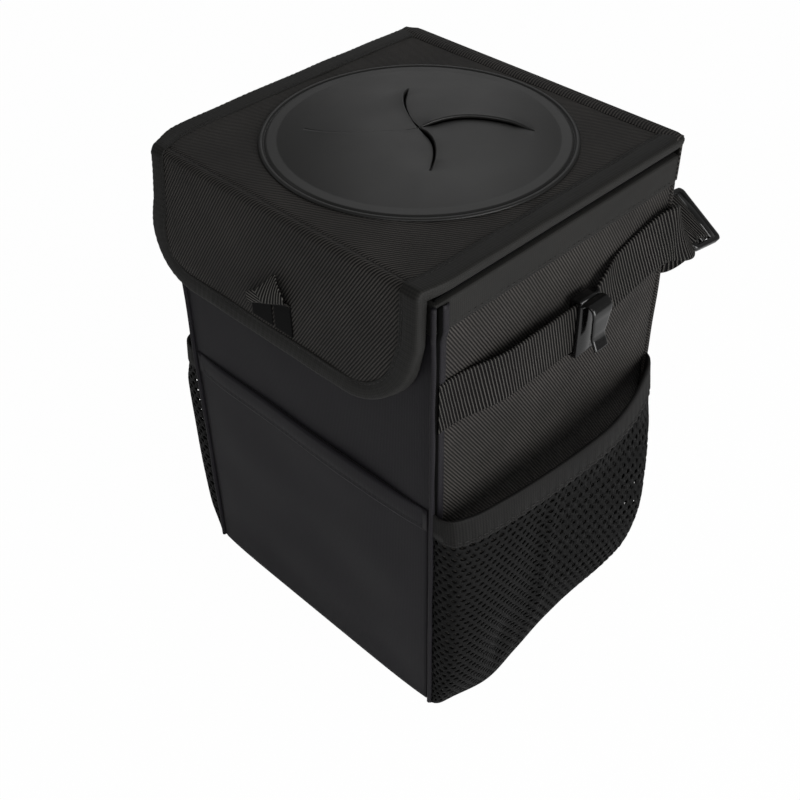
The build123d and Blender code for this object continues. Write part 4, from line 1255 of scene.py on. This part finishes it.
# %% [markdown]
# Under the cover cloth lie the boards and linings of lid and flap. A lid layer is a ring from the round
# opening out to a rectangle: each ray from the centre is shared out between the two edges. A flap layer
# is rows that narrow into the round lower corners. Both pass through the soft edges, so they stay inside
# their tape.

# %% Layers of the lid and the flap
layer_inset = 0.8


def lid_layer(node):
    """One layer of the lid: points on rays, from the round opening to its rectangular edge, facing down."""
    low, high = box_mm(node)
    angle = np.linspace(0, 2 * pi, 161)
    ray = np.stack([np.cos(angle), np.sin(angle)], axis=-1)
    square = ray / np.abs(ray).max(axis=1, keepdims=True)
    edge = square * ((high - low)[:2] / 2 - layer_inset) + (high + low)[:2] / 2
    share = np.linspace(0, 1, 14)[:, None, None]
    points = soft_edges(at_height(cloth_opening * ray * (1 - share) + share * edge, low[2]))
    layer = patch(points[:, :-1], points[..., 0], points[..., 1], wrap_columns=True, towards=(0, 0, -1))
    return layer, high[2] - low[2]


def flap_layer(node):
    """One layer of the flap: rows of points that narrow round its two lower corners, facing the bin."""
    low, high = box_mm(node)
    z_grid, share_grid = grid(spaced(low[2], high[2], 1.5), np.linspace(-1, 1, 50))
    x_grid = (stack_half - layer_inset - corner_inset(z_grid - low[2])) * share_grid
    points = soft_edges(joined(x_grid, high[1], z_grid))
    return patch(points, x_grid, z_grid, towards=(0, 1, 0)), high[1] - low[1]


for body, layer in (("lid", lid_layer), ("flap", flap_layer)):
    for kind, finish, slot in (("lining", lining, "lining_cloth"), ("board", stiff_board, "board")):
        node = f"{body}_{kind}"
        layer_patch, layer_wall = layer(node)
        layer_piece = make_piece(f"{node}_sheet", [layer_patch])
        dress(layer_piece, finish, body, [node], wall=layer_wall)
        if kind == "lining":
            low, high = box_mm(node)

# %% [markdown]
# Two patches of hook and loop pile hold the flap shut. A strip of twill joins the lid to the rear wall:
# it is a curve from the wall up over the lid's edge, carried across the bin, fuller on the left. It is
# attached to neither body.

# %% Closing patches
# Pile has the deepest grain here, so the pads look dull and soft.
pile = moulded("black hook and loop pile", "#161615", 0.75, 0.20, 0.7, 0.4)
pile_step = 1.0
for node, face, facing, body in (("loop_patch", 0, -1, "bin"), ("hook_patch", 1, 1, "flap")):
    low, high = box_mm(node)
    x, z = grid(spaced(low[0], high[0], pile_step), spaced(low[2], high[2], pile_step))
    points = joined(x, (low, high)[face][1], z)
    pad = make_piece(f"{node}_pile", [patch(points, x, z, towards=(0, facing, 0))])
    dress(pad, pile, body, [node], wall=high[1] - low[1])

# %% Hinge cloth and boards
hinge_foot = box_mm("hinge_strip")[0][2]
hinge_sheet, hinge_bend, hinge_gap = 0.9, 6, 0.8
fullness = (1.9, 1.5, 0.9)
roll_knots = np.array([
    (half_depth + tape + 0.3, hinge_foot), (half_depth + 3.0, hinge_foot + 2),
    (half_depth + 4.6, hinge_foot + 8), (half_depth + 5.0, cad_rim_top), (half_depth + 4.6, lid_top - 2.0),
    (half_depth + 2.6, lid_top + 0.7), (half_depth - 1.5, lid_top + 1.1), (half_depth - 4.5, lid_top + 0.3)])
roll_ends = run_lengths(roll_knots)
roll_line = curve_through(roll_knots, spaced(0, roll_ends[-1], 0.6), roll_ends)
row, x = grid(np.arange(len(roll_line)), spaced(0.5 - lid_half, lid_half - 0.5, 2.0))
roll_y, roll_z = roll_line[row, 0], roll_line[row, 1]
fuller = np.interp(x, (-lid_half, 0, lid_half), fullness) * fade(x, -lid_half, lid_half, 5)
wall_y = half_depth + hinge_gap
back = wall_y + (roll_y - wall_y) * np.where(roll_y > wall_y, fuller, 1)
hinge = make_piece("hinge_cloth", [patch(joined(x, back, roll_z), x, roll_z, towards=(0, 1, 1))])
dress(hinge, twill, None, ["hinge_strip"], wall=hinge_sheet)
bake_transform(hinge)

# A board that no piece stands for keeps its CAD shape and takes on the same finish.
boards = [solid for node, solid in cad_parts.items() if node.endswith("_board")]
for solid in boards:
    solid.data.materials.clear()
    solid.data.materials.append(stiff_board)
print("boards:", len(boards))

# %% [markdown]
# The studio is plain: a pale floor and five square lamps. The strongest stands on the right, the others
# are overhead, behind, in front and on the left. The camera sees the world as white, as a light tent is,
# while the light that it sheds on the cloth is lower. The floor shows mostly white to the camera and
# keeps a trace of the bin's shadow.

# %% World and floor
world = bpy.data.worlds.new("light tent")
bpy.context.scene.world = world
world.use_nodes = True
tree = world.node_tree
tree.nodes.clear()
rays = add(tree, "ShaderNodeLightPath").outputs
straight = {0: rays["Is Camera Ray"], 1: rays["Is Transmission Ray"]}
seen = add(tree, "ShaderNodeMath", straight, operation="MAXIMUM")
glow = add(tree, "ShaderNodeMapRange", {"Value": seen.outputs[0], 3: 0.18, 4: 1.0})
tent = add(tree, "ShaderNodeBackground", {"Color": (1, 1, 1, 1), "Strength": glow.outputs[0]})
add(tree, "ShaderNodeOutputWorld", {"Surface": tent.outputs[0]})

# The sweep is matt paper that the camera sees as almost pure white.
floor_finish, tree = new_tree("white sweep")
rays = add(tree, "ShaderNodeLightPath").outputs
matt = add(tree, "ShaderNodeBsdfDiffuse", {"Color": linear("#f2f2f2")})
white = add(tree, "ShaderNodeEmission", {"Color": (1, 1, 1, 1), "Strength": 1.0})
part = add(tree, "ShaderNodeMath", {0: rays["Is Camera Ray"], 1: 0.985}, operation="MULTIPLY")
shown = add(tree, "ShaderNodeMixShader", {0: part.outputs[0], 1: matt.outputs[0], 2: white.outputs[0]})
add(tree, "ShaderNodeOutputMaterial", {"Surface": shown.outputs[0]})
floor_half = 3000.0
x, y = grid((-floor_half, floor_half), (-floor_half, floor_half))
floor = make_piece("floor", [patch(joined(x, y, 0), x, y, towards=(0, 0, 1))])
floor.data.materials.append(floor_finish)

# %% Lamps
def softbox(name, place, aim, size, power):
    """A square area lamp at a place in millimetres, turned to face a point."""
    lamp = bpy.data.objects.new(name, bpy.data.lights.new(name, "AREA"))
    lamp.data.size = size * mm
    lamp.data.energy = power
    back = unit(np.array(place, float) - np.array(aim, float))
    side = unit(np.cross((0, 0, 1), back))
    lamp.matrix_world = placed(side, np.cross(back, side), back, place)
    bpy.context.scene.collection.objects.link(lamp)


softbox("overhead", (-500, 620, 1140), (0, 0, 250), 600, 1.3)
softbox("back", (-800, 880, 620), (0, 0, 250), 500, 0.28)
softbox("right", (1100, -50, 450), (0, 0, 120), 800, 11.5)
softbox("front", (420, -620, 640), (0, -60, 120), 300, 1.1)
softbox("left", (-900, -600, 850), (0, -80, 245), 400, 0.4)
